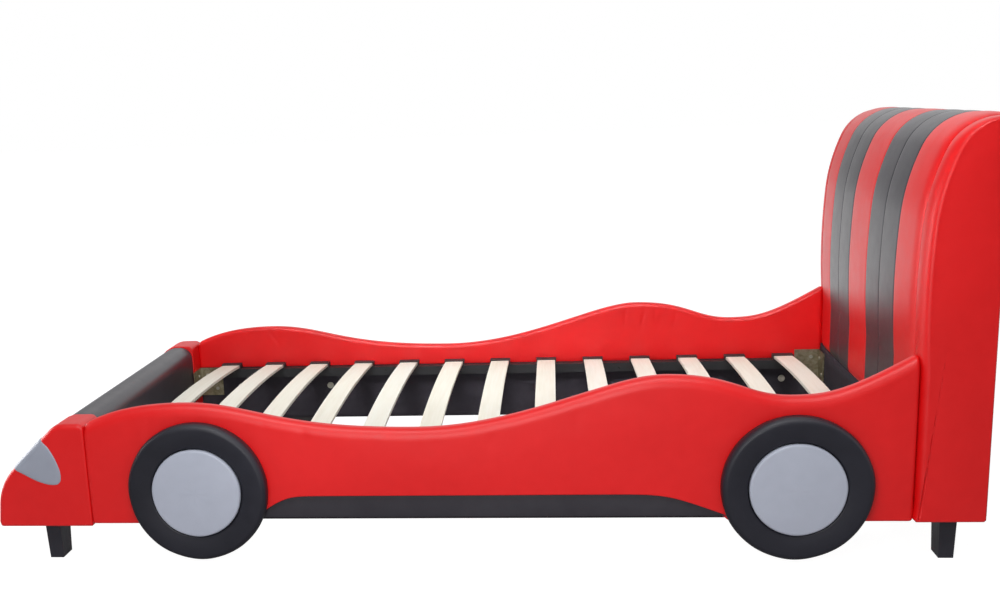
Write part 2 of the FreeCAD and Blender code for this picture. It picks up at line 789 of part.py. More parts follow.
# ---------------------------------------------------------------- headboard
def headboard_wire(inset, foot=headboard_underside):
    """Side view of the headboard: upright front, a gentle swell, a long shoulder, then the crown.

    The swell is an arc of bulge rise over bulge_height. Shoulder and crown follow it without a corner,
    and the crown ends level, just before the rear face. The wings have an inset of 0. Moving the front
    in by inset keeps all the centres and shrinks the radii.
    """
    half = bulge_height / 2
    swell_radius = (half ** 2 + bulge ** 2) / (2 * bulge)
    tilt = math.asin(half / swell_radius)
    turn = math.radians(shoulder_turn)
    blend = shoulder_radius - crown_radius
    shoulder_x = head_front_x + shoulder_radius * math.cos(tilt)
    crown_x = shoulder_x - blend * math.cos(turn)
    crown_z = headboard_height - panel_proud - crown_radius
    shoulder_z = crown_z - blend * math.sin(turn)
    swell_x = head_front_x - bulge + swell_radius
    swell_z = shoulder_z + shoulder_radius * math.sin(tilt) - half
    swell = swell_radius - inset
    shoulder = shoulder_radius - inset
    crown = crown_radius - inset
    front = head_front_x + inset

    def on_arc(centre_x, centre_z, radius, angle):
        return point(centre_x - radius * math.cos(angle), centre_z + radius * math.sin(angle))

    def arc(centre_x, centre_z, radius, start, end):
        middle = on_arc(centre_x, centre_z, radius, (start + end) / 2)
        first = on_arc(centre_x, centre_z, radius, start)
        return Part.Arc(first, middle, on_arc(centre_x, centre_z, radius, end)).toShape()

    low_angle = -math.acos((swell_x - front) / swell)
    top = on_arc(crown_x, crown_z, crown, math.pi / 2)
    return Part.Wire([
        Part.makeLine(point(head_rear_x, foot), point(front, foot)),
        Part.makeLine(point(front, foot), on_arc(swell_x, swell_z, swell, low_angle)),
        arc(swell_x, swell_z, swell, low_angle, tilt),
        arc(shoulder_x, shoulder_z, shoulder, tilt, turn),
        arc(crown_x, crown_z, crown, turn, math.pi / 2),
        Part.makeLine(top, point(head_rear_x, top.z)),
        Part.makeLine(point(head_rear_x, top.z), point(head_rear_x, foot)),
    ])


def panel_solid(y_from, y_to, outer_roll=panel_roll):
    """One upright padded panel of the headboard, from the lining up and over the top.

    Its long edges are rounded, the edge at y_to by outer_roll.
    """
    outer = slab(headboard_wire(-panel_proud, foot=panel_foot), y_from, y_to)

    def rolled(middle):
        return middle.z > panel_foot + 1 and middle.x < head_rear_x - 1

    for y_plane, radius in ((y_from, panel_roll), (y_to, outer_roll)):
        outer = roll_edges(outer, y_plane, radius, rolled)
    return outer.cut(slab(headboard_wire(panel_pad - panel_proud), y_from, y_to))


def wing_solid(side):
    """Padded side of the headboard, rolled over its front and top edge, round the frame's end rib."""
    outer = slab(headboard_wire(0), side * panel_half, side * headboard_half)

    def rolled(middle):
        return middle.z > headboard_underside + 1 and middle.x < head_rear_x - 1

    outer = roll_edges(outer, side * headboard_half, wing_edge_roll, rolled)
    outer = roll_edges(outer, side * panel_half, crease_roll / 2, rolled)
    rib = slab(headboard_wire(wing_pad), side * panel_half, side * (headboard_half - wing_side_pad))
    return outer.cut(rib)


def lower_lining_solid():
    """Black cover on the foot of the headboard's front, below the stripes."""
    half = panel_half
    outer = slab(headboard_wire(-panel_proud), -half, half)
    core = slab(headboard_wire(panel_pad - panel_proud), -half, half)
    front = head_front_x - panel_proud - bulge * 2
    above = block(front, head_rear_x + 1, -half, half, panel_foot, headboard_height * 2)
    return outer.cut(core).cut(above).cut(bracket_screw_holes())


def headboard_frame_solids():
    """Two end ribs in the wings, a bent front board, shelves, and the bar that takes the rear legs."""
    half = panel_half
    solids = []
    for side in sides.values():
        rib = slab(headboard_wire(wing_pad), side * half, side * (headboard_half - wing_side_pad))
        solids.append(rib)
    behind = panel_pad - panel_proud
    board = slab(headboard_wire(behind), -half, half)
    room = slab(headboard_wire(behind + front_board), -half, half)
    solids.append(board.cut(room).cut(bracket_screw_holes()))
    bar_top = headboard_underside + bottom_bar
    bar = block(head_front_x, head_rear_x, -half, half, headboard_underside, bar_top)
    solids.append(room.common(bar).cut(leg_bolt_holes()))
    for height in shelf_heights:
        shelf = block(head_front_x, head_rear_x, -half, half, height, height + frame_board)
        solids.append(room.common(shelf))
    return solids


def back_cover_solid():
    """Black cloth tacked over the open back of the headboard."""
    half = headboard_half - back_cover_margin
    foot = headboard_underside + back_cover_margin
    top = headboard_height - back_cover_margin
    return block(head_rear_x, head_rear_x + back_cover, -half, half, foot, top)


# ---------------------------------------------------------------- legs
def leg_centres():
    """Centre of every leg, as node name and place on the floor."""
    y = rail_outer_y - leg_from_side
    front_x = nose_rear_x - front_leg_from_rear
    rear_x = head_front_x + rear_leg_from_front
    return {
        "front_legs": [V(front_x, -y, 0), V(front_x, y, 0)],
        "rear_legs": [V(rear_x, -y, 0), V(rear_x, y, 0)],
    }


def rectangle(centre, size, z):
    half_x = size[0] / 2
    half_y = size[1] / 2
    corners = [(-half_x, -half_y), (half_x, -half_y), (half_x, half_y), (-half_x, half_y)]
    return Part.makePolygon([V(centre.x + dx, centre.y + dy, z) for dx, dy in corners + corners[:1]])


def leg_solid(centre, height):
    """Square block leg, tapered towards the floor."""
    leg = Part.makeLoft([rectangle(centre, leg_foot, 0), rectangle(centre, leg_top, height)], True, True)
    return leg.cut(leg_bolt_holes())


def leg_bolt_holes():
    """Threaded holes up each leg and into the timber above it."""
    holes = []
    for name, centres in leg_centres().items():
        for centre in centres:
            start = V(centre.x, centre.y, leg_heights[name] - leg_bolt_depth)
            holes.append(pin(start, V(0, 0, 1), bolt_radius, leg_bolt_depth + leg_bolt_grip))
    return Part.makeCompound(holes)


def leg_bolt_solids():
    """Threaded studs that screw each leg up into its board."""
    return list(leg_bolt_holes().Solids)


# ---------------------------------------------------------------- everything, by name
def build_nodes():
    """Every named piece of the bed, as name and list of solids."""
    nodes = {}
    for name, side in sides.items():
        nodes["rail_board_" + name] = [rail_board_solid(side)]
        nodes["rail_cover_" + name] = [rail_cover_solid(side)]
        nodes["rail_lining_" + name] = [rail_lining_solid(side)]
        nodes["sill_" + name] = [sill_solid(side)]
        nodes["slat_ledge_" + name] = [ledge_solid(side)]
        nodes["headlight_" + name] = [headlight_solid(side)]
        nodes["nose_end_" + name] = [nose_end_solid(side)]
        nodes["headboard_wing_" + name] = [wing_solid(side)]
        for place, wheel_x in (("front", front_wheel_x), ("rear", rear_wheel_x)):
            nodes["tyre_" + place + "_" + name] = [tyre_solid(wheel_x, side)]
            nodes["hubcap_" + place + "_" + name] = [hubcap_solid(wheel_x, side)]
        inner = centre_panel / 2
        middle = inner + stripe_width
        outer = middle + stripe_width
        nodes["stripe_inner_" + name] = [panel_solid(side * inner, side * middle)]
        nodes["stripe_outer_" + name] = [panel_solid(side * middle, side * outer)]
        nodes["headboard_panel_" + name] = [panel_solid(side * outer, side * panel_half, crease_roll)]
    nodes["headboard_panel_centre"] = [panel_solid(-centre_panel / 2, centre_panel / 2)]
    nodes["headboard_lining"] = [lower_lining_solid()]
    nodes["headboard_frame"] = headboard_frame_solids()
    nodes["headboard_back_cover"] = [back_cover_solid()]
    nodes["hood_cover"] = [hood_solid()]
    nodes["nose_frame"] = nose_frame_solids()
    nodes["wheel_backing_boards"] = backing_solids()
    nodes["wheel_bolts"] = wheel_bolt_solids()
    nodes["corner_brackets"] = corner_bracket_solids()
    nodes["bracket_screws"] = bracket_screw_solids()
    nodes["ledge_screws"] = ledge_screw_solids()
    nodes["slat_caps"] = slat_cap_solids()
    nodes["leg_bolts"] = leg_bolt_solids()
    for name, centres in leg_centres().items():
        nodes[name] = [leg_solid(centre, leg_heights[name]) for centre in centres]
    for index in range(slat_count):
        nodes["slat_%02d" % (index + 1)] = [slat_solid(index)]
    return nodes


def write_nodes():
    os.makedirs("parts", exist_ok=True)
    for name, solids in build_nodes().items():
        shape = solids[0] if len(solids) == 1 else Part.makeCompound(solids)
        shape.exportStep(os.path.join("parts", name + ".step"))
        print(name, len(shape.Solids), "solid(s)", round(shape.Volume / 1000.0, 1), "cm3", shape.isValid())


write_nodes()
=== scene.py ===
"""Looks of the upholstered car bed: padded covers, linings, wheels, slats and the studio.

Metres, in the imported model's frame: +X to the headboard, -X to the nose, +Z up, -Y the near side.
"""
import math

import bmesh
import bpy
import numpy as np
from mathutils import Matrix, Vector


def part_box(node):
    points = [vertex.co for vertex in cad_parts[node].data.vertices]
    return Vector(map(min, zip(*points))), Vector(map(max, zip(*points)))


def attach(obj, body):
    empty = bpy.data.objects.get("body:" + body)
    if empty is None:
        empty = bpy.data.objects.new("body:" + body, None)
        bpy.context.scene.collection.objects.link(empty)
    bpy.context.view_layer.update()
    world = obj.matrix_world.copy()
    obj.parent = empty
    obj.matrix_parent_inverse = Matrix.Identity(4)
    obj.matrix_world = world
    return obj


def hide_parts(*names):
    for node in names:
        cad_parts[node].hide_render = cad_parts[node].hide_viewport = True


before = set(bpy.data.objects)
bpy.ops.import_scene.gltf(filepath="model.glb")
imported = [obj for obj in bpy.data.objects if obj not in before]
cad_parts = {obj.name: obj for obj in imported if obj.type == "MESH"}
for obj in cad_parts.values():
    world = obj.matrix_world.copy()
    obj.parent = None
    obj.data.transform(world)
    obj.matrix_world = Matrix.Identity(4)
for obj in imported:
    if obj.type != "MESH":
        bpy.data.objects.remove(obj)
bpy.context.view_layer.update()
SIDES = (-1, 1)  # left, right
HALF_TURN = math.pi
QUARTER = math.pi / 2


# ------ places taken from the frame
def low(node):
    return np.array(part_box(node)[0])


def high(node):
    return np.array(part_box(node)[1])


def name_of(stem, side):
    return stem + ("_left" if side < 0 else "_right")


rail_start_x = low("rail_cover_left")[0]  # nose end of the rails
rail_end_x = high("rail_cover_left")[0]  # headboard end of the rails
rail_in, rail_floor = low("rail_cover_right")[1:]
rail_out = high("rail_cover_right")[1]
rail_length = rail_end_x - rail_start_x
board_in, board_floor = low("rail_board_right")[1:]
board_out = high("rail_board_right")[1]
hem_height = high("slat_ledge_right")[2]  # red inside, black below
sill_start_x, _, sill_floor = low("sill_left")
sill_end_x = high("sill_left")[0]
nose_tip_x, nose_cap_in, nose_floor = low("nose_end_right")
nose_top = high("nose_end_right")[2]
wing_in, head_floor = low("headboard_wing_right")[1:]
head_rear_x, wing_out, head_top = high("headboard_wing_right")
panel_floor = low("headboard_panel_centre")[2]
hub_out = high("hubcap_front_right")[1]
tyre_out = high("tyre_front_right")[1]
backing_out = low("hubcap_front_right")[1]

# ------ forms shared with the construction
# Rail's wavy edge: (distance from the nose, height, slope, fullness before, fullness after).
RAIL_WAVE = [
    (0.0, 0.346, 0.49, 0.0, 0.28),
    (0.240, 0.392, 0.0, 0.38, 0.30),
    (0.794, 0.326, 0.0, 0.62, 0.43),
    (rail_length - 0.545, 0.442, 0.0, 0.22, 0.55),
    (rail_length - 0.265, 0.390, 0.0, 0.36, 0.30),
    (rail_length, 0.481, 0.57, 0.55, 0.0),
]
RAIL_ROLL_OUT = (0.021, 0.029)  # rounded top of the rails, outside: across and down
RAIL_ROLL_IN = (0.012, 0.012)  # and inside
HOOD_FLAT = 0.072  # level top of the nose
NOSE_CORNER_HEIGHT = 0.203  # where slope and front face would meet
NOSE_LEAN = 0.014  # the front face's foot stands further out
RIDGE_RADIUS = 0.060
BROW_RADIUS = 0.150
CHIN_RADIUS = 0.012
HEEL_RADIUS = 0.016
HOOD_HEEL_RADIUS = 0.038  # softer rear edge of the hood
NOSE_ROLL = 0.013  # rounded outer edge of the nose's end sections
LAMP_START = 0.051  # headlight, down the slope from the ridge
LAMP_LENGTH = 0.104
LAMP_DROP = 0.1055
LAMP_SHIFT = 0.004  # its lower part lies this much nearer the hood
LAMP_REACH = 0.084
SHOULDER_RADIUS = 0.474  # the headboard's front starts to lean back on this curve
SHOULDER_TURN = math.radians(24)
CROWN_RADIUS = 0.114  # tighter curve over its top
BULGE = 0.0065
BULGE_HEIGHT = 0.320
PANEL_PROUD = 0.006  # the panels stand this far outside the wings
PANEL_PAD = 0.022
PANEL_ROLL = (0.0020, 0.0045)  # panels' sewn edges: across and down
CREASE_ROLL = (0.036, 0.012)  # outer panels' edge, where it meets the wing
PLAN_CROWN = 0.009  # the middle of the headboard's front is fuller than its sides
WING_ROLL = 0.019  # wings' rounded front edge, backwards
WING_ROLL_REACH = 2.0  # and this much wider across
SILL_RISE = 0.055  # sill's height, and its sloping ends
SILL_FRONT_SLANT = 0.088
SILL_REAR_SLANT = 0.145

# ------ small mesh tools
WELD = 0.00005  # points this close together become one
LOOKS = {}  # finished materials by name


def add_object(name, data):
    made = bpy.data.objects.new(name, data)
    bpy.context.scene.collection.objects.link(made)
    return made


def dress(piece, look):
    piece.data.materials.clear()
    piece.data.materials.append(LOOKS[look])


def add_piece(name, points, faces, node, slot, fill=0.9, weld=False):
    """New object from an (n, 3) array of points and a list of faces, riding on the bed's one body.

    It stands for node, whose own piece is hidden; fill is not used. weld joins points that
    fell together where a grid narrows to nothing.
    """
    mesh = bpy.data.meshes.new(name)
    mesh.from_pydata(points.tolist(), [], faces)
    mesh.validate()
    mesh.polygons.foreach_set("use_smooth", [True] * len(mesh.polygons))
    if weld:
        joined = bmesh.new()
        joined.from_mesh(mesh)
        bmesh.ops.remove_doubles(joined, verts=joined.verts, dist=WELD)
        bmesh.ops.recalc_face_normals(joined, faces=joined.faces)
        joined.to_mesh(mesh)
        joined.free()
    piece = add_object(name, mesh)
    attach(piece, "root")
    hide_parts(node)
    dress(piece, slot)
    return piece


def grid(*coordinates):
    """Points from their coordinates, each an array or a value, spread to one shape."""
    return np.stack(np.broadcast_arrays(*coordinates), axis=-1)


def bend(steps, start=0.0, end=QUARTER):
    """Rounding of an edge: pairs (1 - cos, 1 - sin) at even angles from start to end."""
    angles = np.linspace(start, end, steps)
    return list(zip(1 - np.cos(angles), 1 - np.sin(angles)))


def along_x(x, rows, side=1):
    """Loops at every x through rows of (y, z), each a value or an array over x, for one side."""
    loops = np.stack([grid(x, out, up) for out, up in rows], axis=1)
    loops[..., 1] *= side
    return loops


def grid_faces(rows, columns, wrap_rows=False, wrap_columns=False):
    """Quads of a rows by columns grid, joined round where asked."""
    row = np.arange(rows if wrap_rows else rows - 1)
    column = np.arange(columns if wrap_columns else columns - 1)
    row, column = np.meshgrid(row, column, indexing="ij")
    here = row * columns
    ahead = (row + 1) % rows * columns
    beside = (column + 1) % columns
    corners = [here + column, ahead + column, ahead + beside, here + beside]
    return np.stack(corners, axis=-1).reshape(-1, 4)


def outward(points, quads, caps=()):
    """Faces of a closed surface as a list, all turned so that they point outwards."""
    corners = points[quads]
    total = np.sum(np.cross(corners[:, 1], corners[:, 2]) * corners[:, 0])
    total += np.sum(np.cross(corners[:, 2], corners[:, 3]) * corners[:, 0])
    for cap in caps:
        fan = points[np.array(cap)]
        total += np.sum(np.cross(fan[1:-1], fan[2:]) @ fan[0])
    faces = quads.tolist() + [np.array(cap).tolist() for cap in caps]
    return faces if total > 0 else [face[::-1] for face in faces]


def tube(name, loops, node, slot, pinched=False, **rest):
    """Closed surface through equal loops of points, array (loops, points, 3).

    Each end is closed by one face or, where pinched, by a fan to the middle of its last loop.
    """
    count, around, _ = loops.shape
    points = loops.reshape(-1, 3)
    ring = np.arange(around)
    caps = [ring, (count - 1) * around + ring[::-1]]
    if pinched:
        points = np.concatenate([points, [loops[0].mean(axis=0)], [loops[-1].mean(axis=0)]])
        caps = [
            (first, second, count * around + end)
            for end, cap in enumerate(caps) for first, second in zip(cap, np.roll(cap, -1))
        ]
    faces = outward(points, grid_faces(count, around, wrap_columns=True), caps)
    add_piece(name, points, faces, node, slot, **rest)


def closed_sheet(face, back):
    """Points and faces of a thin closed pad between two grids of the same size."""
    rows, columns, _ = face.shape
    points = np.concatenate([face.reshape(-1, 3), back.reshape(-1, 3)])
    base = rows * columns
    quads = grid_faces(rows, columns)
    rim = np.concatenate([
        np.arange(columns), np.arange(1, rows) * columns + columns - 1,
        (rows - 1) * columns + np.arange(columns - 2, -1, -1),
        np.arange(rows - 2, 0, -1) * columns,
    ])
    following = np.roll(rim, -1)
    wall = np.stack([rim, following, base + following, base + rim], axis=-1)
    return points, outward(points, np.concatenate([quads, base + quads[:, ::-1], wall]))


def smooth_step(value, start, end):
    share = np.clip((value - start) / (end - start), 0.0, 1.0)
    return share * share * (3 - 2 * share)


def hump(value, centre, width):
    return np.exp(-((value - centre) / width) ** 2)


# ------ shader tools
class Wire:
    """A shader value. Arithmetic on it adds Math nodes."""

    def __init__(self, graph, socket):
        self.graph = graph
        self.socket = socket

    def _with(self, operation, first, second):
        return self.graph.node("ShaderNodeMath", {"operation": operation}, {0: first, 1: second})

    def __add__(self, other):
        return self._with("ADD", self, other)

    def __radd__(self, other):
        return self._with("ADD", other, self)

    def __sub__(self, other):
        return self._with("SUBTRACT", self, other)

    def __mul__(self, other):
        return self._with("MULTIPLY", self, other)

    def __rmul__(self, other):
        return self._with("MULTIPLY", other, self)


class Graph:
    """A node tree under construction."""

    def __init__(self, tree):
        self.tree = tree
        tree.nodes.clear()

    def node(self, kind, settings=None, inputs=None, output=0):
        """Add a node: its settings first, then its sockets, given as values or wires."""
        made = self.tree.nodes.new(kind)
        for name, value in (settings or {}).items():
            setattr(made, name, value)
        for name, value in (inputs or {}).items():
            if isinstance(value, Wire):
                self.tree.links.new(value.socket, made.inputs[name])
            else:
                made.inputs[name].default_value = value
        return Wire(self, made.outputs[output]) if made.outputs else None

    def between(self, value, low_in, high_in, low_out, high_out, kind="LINEAR"):
        return self.node("ShaderNodeMapRange", {"clamp": True, "interpolation_type": kind}, {
            "Value": value, "From Min": low_in, "From Max": high_in,
            "To Min": low_out, "To Max": high_out,
        })


class Shader(Graph):
    """One material under construction, with a Principled surface."""

    def __init__(self, name):
        self.name = name
        self.material = bpy.data.materials.new(name)
        self.material.use_nodes = True
        super().__init__(self.material.node_tree)

    def place(self, scale=(1, 1, 1)):
        """Object coordinates in metres, stretched by a Mapping node."""
        spot = self.node("ShaderNodeTexCoord", output="Object")
        return self.node("ShaderNodeMapping", inputs={"Vector": spot, "Scale": scale})

    def noise(self, where, scale, detail=2.0, roughness=0.5, distortion=0.0):
        return self.node("ShaderNodeTexNoise", inputs={
            "Vector": where, "Scale": scale, "Detail": detail, "Roughness": roughness,
            "Distortion": distortion,
        })

    def cells(self, where, scale, feature="F1"):
        inputs = {"Vector": where, "Scale": scale}
        return self.node("ShaderNodeTexVoronoi", {"feature": feature}, inputs, "Distance")

    def blend(self, share, first, second):
        """Mix of two (red, green, blue) colours."""
        inputs = {"Factor": share, 6: (*first, 1.0), 7: (*second, 1.0)}
        return self.node("ShaderNodeMix", {"data_type": "RGBA"}, inputs, 2)

    def bump(self, height, depth, under=None):
        inputs = {"Height": height, "Distance": depth, "Strength": 1.0}
        if under is not None:
            inputs["Normal"] = under
        return self.node("ShaderNodeBump", inputs=inputs)

    def finish(self, **sockets):
        """Principled surface with the given sockets, named with _ for a space."""
        inputs = {name.replace("_", " "): value for name, value in sockets.items()}
        surface = self.node("ShaderNodeBsdfPrincipled", inputs=inputs, output="BSDF")
        self.node("ShaderNodeOutputMaterial", inputs={"Surface": surface})
        LOOKS[self.name] = self.material


def grey(tone):
    return (tone, tone, tone, 1.0)


GRAIN_SCALE = 620.0  # leather cells to the metre
GRAIN_DEPTH = 0.00006
PORE_SCALE = 1900.0
FOAM_SCALE = 5.0  # soft unevenness of the foam under a cover
FOAM_DEPTH = 0.0035
THREAD_SCALE = 520.0  # threads of the lining


def faux_leather(name, deep, light, roughness, foam=1.0, tension=(1, 1, 1)):
    """Satin coated cloth: pebbled grain, fine pores, soft foam unevenness, faint colour drift."""
    shader = Shader(name)
    spot = shader.place()
    stretched = shader.place(scale=tension)
    drift = shader.noise(spot, 3.2, detail=3.0)
    mottle = shader.noise(spot, 34.0)
    grain = shader.cells(spot, GRAIN_SCALE, feature="SMOOTH_F1")
    pores = shader.noise(spot, PORE_SCALE)
    swell = shader.noise(stretched, FOAM_SCALE, detail=3.0, roughness=0.45)
    tone = shader.between(drift * 0.75 + mottle * 0.25, 0.35, 0.68, 0.0, 1.0)
    soft = shader.bump(swell, FOAM_DEPTH * foam)
    grained = shader.bump(grain, GRAIN_DEPTH, under=soft)
    shader.finish(
        Base_Color=shader.blend(tone, deep, light),
        Roughness=roughness + 0.10 * (mottle - 0.5) + 0.08 * (grain - 0.4),
        Normal=shader.bump(pores, GRAIN_DEPTH * 0.5, under=grained),
        IOR=1.5, Specular_IOR_Level=0.5,
    )


def lining_cloth(name, deep, light):
    """Plain woven lining: crossing threads seen as a fine bump and a broken sheen."""
    shader = Shader(name)
    warp, weft = [
        shader.node("ShaderNodeTexWave", {"wave_type": "BANDS", "bands_direction": direction}, {
            "Vector": shader.place(), "Scale": THREAD_SCALE, "Distortion": 0.6,
        }) for direction in "XZ"
    ]
    fluff = shader.noise(shader.place(), 60.0, detail=4.0)
    weave = shader.bump(warp * weft, 0.00012)
    shader.finish(
        Base_Color=shader.blend(fluff, deep, light), Roughness=0.85 + 0.1 * fluff,
        Normal=shader.bump(fluff, 0.0006, under=weave), Specular_IOR_Level=0.3,
    )


def bent_birch(name, deep, light, offset):
    """Clear varnished birch veneer: fine grain along the slat, pores and pale drift."""
    shader = Shader(name)
    shifted = shader.node("ShaderNodeMapping", inputs={
        "Vector": shader.place(scale=(1.0, 0.045, 0.4)), "Location": (offset, offset * 0.37, 0.0),
    })
    streaks = shader.noise(shifted, 150.0, detail=4.0, roughness=0.6, distortion=0.3)
    figure = shader.noise(shifted, 24.0, detail=3.0)
    flecks = shader.cells(shader.place(scale=(1.0, 0.12, 1.0)), 420.0)
    tone = shader.between(streaks * 0.6 + figure * 0.4, 0.34, 0.66, 0.0, 1.0)
    shader.finish(
        Base_Color=shader.blend(tone, deep, light), Roughness=0.42 + 0.14 * streaks,
        Normal=shader.bump(streaks * 0.8 + flecks * 0.2, 0.00015), Specular_IOR_Level=0.4,
    )


def ply_board(name, deep, light):
    """Raw plywood: pale long grain with darker streaks."""
    shader = Shader(name)
    streaks = shader.noise(shader.place(scale=(0.06, 1.0, 1.0)), 60.0, detail=5.0, distortion=0.8)
    tone = shader.between(streaks, 0.3, 0.7, 0.0, 1.0)
    shader.finish(
        Base_Color=shader.blend(tone, deep, light), Roughness=0.7 + 0.15 * streaks,
        Normal=shader.bump(streaks, 0.0003),
    )


def painted_timber(name, deep, light):
    """Satin black paint over close-grained timber."""
    shader = Shader(name)
    grain = shader.noise(shader.place(scale=(1.0, 1.0, 0.1)), 110.0, detail=4.0)
    dust = shader.noise(shader.place(), 18.0, detail=3.0)
    shader.finish(
        Base_Color=shader.blend(dust, deep, light), Roughness=0.38 + 0.2 * grain,
        Normal=shader.bump(grain, 0.0002),
    )


def moulded_plastic(name, deep, light):
    """Moulded plastic with a spark-eroded texture."""
    shader = Shader(name)
    fine = shader.noise(shader.place(), 900.0)
    tint = shader.noise(shader.place(), 40.0)
    shader.finish(
        Base_Color=shader.blend(tint, deep, light), Roughness=0.45 + 0.2 * fine,
        Normal=shader.bump(fine, 0.00008),
    )


def zinc_plate(name, deep, light):
    """Passivated zinc on steel: blotchy tint, brushed and a little dull."""
    shader = Shader(name)
    blotch = shader.noise(shader.place(), 55.0, detail=4.0, distortion=1.2)
    brush = shader.noise(shader.place(scale=(0.08, 0.08, 1.0)), 900.0)
    tone = shader.between(blotch, 0.35, 0.65, 0.0, 1.0)
    shader.finish(
        Base_Color=shader.blend(tone, deep, light), Metallic=0.85,
        Roughness=0.34 + 0.25 * blotch, Normal=shader.bump(brush, 0.00005),
    )


RED = "red_faux_leather"
CHARCOAL = "charcoal_faux_leather"
BLACK = "black_faux_leather"
SILVER = "silver_faux_leather"
# the hubs' silver leather made darker for the headlights: painted shade for their sideways place on
# the nose
SILVER_PAINTED_SHADE = "silver_faux_leather_painted_shade"
LINING = "black_lining"

faux_leather(
    RED, (0.68, 0.0015, 0.0025), (0.76, 0.0035, 0.0050), 0.42, tension=(0.55, 1.0, 1.0)
)
faux_leather(CHARCOAL, (0.028, 0.025, 0.033), (0.038, 0.035, 0.044), 0.39, foam=0.5)
faux_leather(BLACK, (0.009, 0.009, 0.016), (0.015, 0.015, 0.025), 0.50, foam=0.4)
faux_leather(SILVER, (0.375, 0.40, 0.48), (0.425, 0.455, 0.54), 0.42, foam=0.3)
# darker copy of the silver leather: painted shade on the headlights
faux_leather(SILVER_PAINTED_SHADE, (0.285, 0.305, 0.37), (0.33, 0.355, 0.425), 0.42, foam=0.3)
lining_cloth(LINING, (0.024, 0.021, 0.028), (0.042, 0.037, 0.048))
ply_board("plywood", (0.36, 0.22, 0.10), (0.62, 0.44, 0.25))
painted_timber("black_timber", (0.010, 0.010, 0.011), (0.020, 0.020, 0.023))
painted_timber("black_leg", (0.018, 0.017, 0.025), (0.030, 0.029, 0.041))
moulded_plastic("cap_plastic", (0.012, 0.012, 0.014), (0.03, 0.03, 0.033))
zinc_plate("zinc_steel", (0.22, 0.19, 0.11), (0.40, 0.36, 0.25))
zinc_plate("zinc_screws", (0.40, 0.39, 0.33), (0.58, 0.56, 0.48))
zinc_plate("black_screws", (0.03, 0.03, 0.03), (0.07, 0.07, 0.07))


# ------ side rails
END_ROLL = 0.009  # rounded ends of the rail covers
WINDOW_LIP = 0.003  # cover's edge rolled into the sill window
WINDOW_DEPTH = 0.0145
WINDOW_KNEE = 6.0  # how sharply the window's slants turn into its level top
OUTER_SWELL = 0.0012  # foam stands this much proud of the flat
FOOT_ROLL = 0.005  # rounded lower outer edge
HEM = 0.003  # rounded edge of the cover inside
BOARD_GAP = 0.001  # between a cover and the board in it
BOARD_DROP = 0.0118  # from the cover's top to its underside on the board
LEAST_FOLD = 0.0004  # no fold stands further out than this
SLIP = 0.0005  # between a thin pad and what it lies on
SILL_ROLL = 0.002
BRACKET_REACH = 0.083  # the lining is higher this close to the headboard
CREST_FRONT = rail_start_x + 0.240
CREST_REAR = rail_end_x - 0.545
# Gathers where the far rail's cover is drawn over its crests: (x, height, lean, depth).
GATHERS = [
    (CREST_REAR - 0.032, 0.407, 0.11, 0.0012),
    (CREST_REAR + 0.021, 0.400, 0.22, 0.0011),
    (CREST_REAR + 0.057, 0.408, 0.0, 0.0005),
    (CREST_REAR + 0.117, 0.402, 0.06, 0.0005),
    (CREST_FRONT + 0.004, 0.361, -0.70, 0.0010),
]


def wave_height(x):
    """Height of the rail's top edge: cubic curves between crests and dips, level at each."""
    share = np.linspace(0.0, 1.0, 60)[:, None]
    keep = 1 - share
    runs = []
    for near, far in zip(RAIL_WAVE, RAIL_WAVE[1:]):
        span = far[0] - near[0]
        start = np.array(near[:2])
        end = np.array(far[:2])
        first = start + near[4] * span * np.array([1.0, near[2]])
        second = end - far[3] * span * np.array([1.0, far[2]])
        runs.append(
            keep ** 3 * start + 3 * keep ** 2 * share * first
            + 3 * keep * share ** 2 * second + share ** 3 * end
        )
    line = np.concatenate(runs)
    return np.interp(x - rail_start_x, line[:, 0], line[:, 1])


def sill_rise(x):
    """Height of the sill window above its foot: level, with a slant down to nothing at each end."""
    rise = np.minimum((x - sill_start_x) / SILL_FRONT_SLANT, (sill_end_x - x) / SILL_REAR_SLANT)
    soft = -np.log(np.exp(-WINDOW_KNEE * np.clip(rise, -1, 3)) + np.exp(-WINDOW_KNEE)) / WINDOW_KNEE
    return SILL_RISE * np.clip(soft, 0.0, 1.0)


def rail_stations():
    """X of the rail's cross-sections, closer together at both ends and round the gathers."""
    ends = END_ROLL * (1 - np.cos(np.linspace(0, QUARTER, 8)))
    middle = np.linspace(rail_start_x + END_ROLL, rail_end_x - END_ROLL, 300)[1:-1]
    gathered = [centre + 0.02 * np.linspace(-1, 1, 21) for centre, *_ in GATHERS]
    x = np.concatenate([rail_start_x + ends, middle, rail_end_x - ends, *gathered])
    return np.unique(np.round(x, 5))


def rail_wrinkles(x, z, side):
    """Small folds and dimples of the cover, in metres, as a function of place on a rail's face.

    Each gather is a narrow furrow that leans as it runs down, with a low ridge beside it.
    """
    folds = np.zeros_like(x)
    seeds = np.random.default_rng(7 if side < 0 else 11)
    for _ in range(26):
        centre = seeds.uniform(rail_start_x + 0.1, rail_end_x - 0.1)
        height = wave_height(np.array([centre]))[0] - seeds.uniform(0.01, 0.05)
        width = seeds.uniform(0.006, 0.014)
        reach = seeds.uniform(0.02, 0.05)
        lean = seeds.uniform(-0.35, 0.35)
        depth = seeds.uniform(0.0002, 0.0008)
        folds -= depth * hump(x + lean * (z - height), centre, width) * hump(z, height, reach)
    if side > 0:
        for centre, height, lean, depth in GATHERS:
            across = x - lean * (z - height)
            furrow = hump(across, centre, 0.0050) - 0.35 * hump(across, centre - 0.013, 0.008)
            folds -= depth * furrow * hump(z, height, 0.022)
    drift = np.sin(x * 9.0 + side) * np.sin(z * 21.0 + x * 3.0) * 0.0005
    return folds + drift


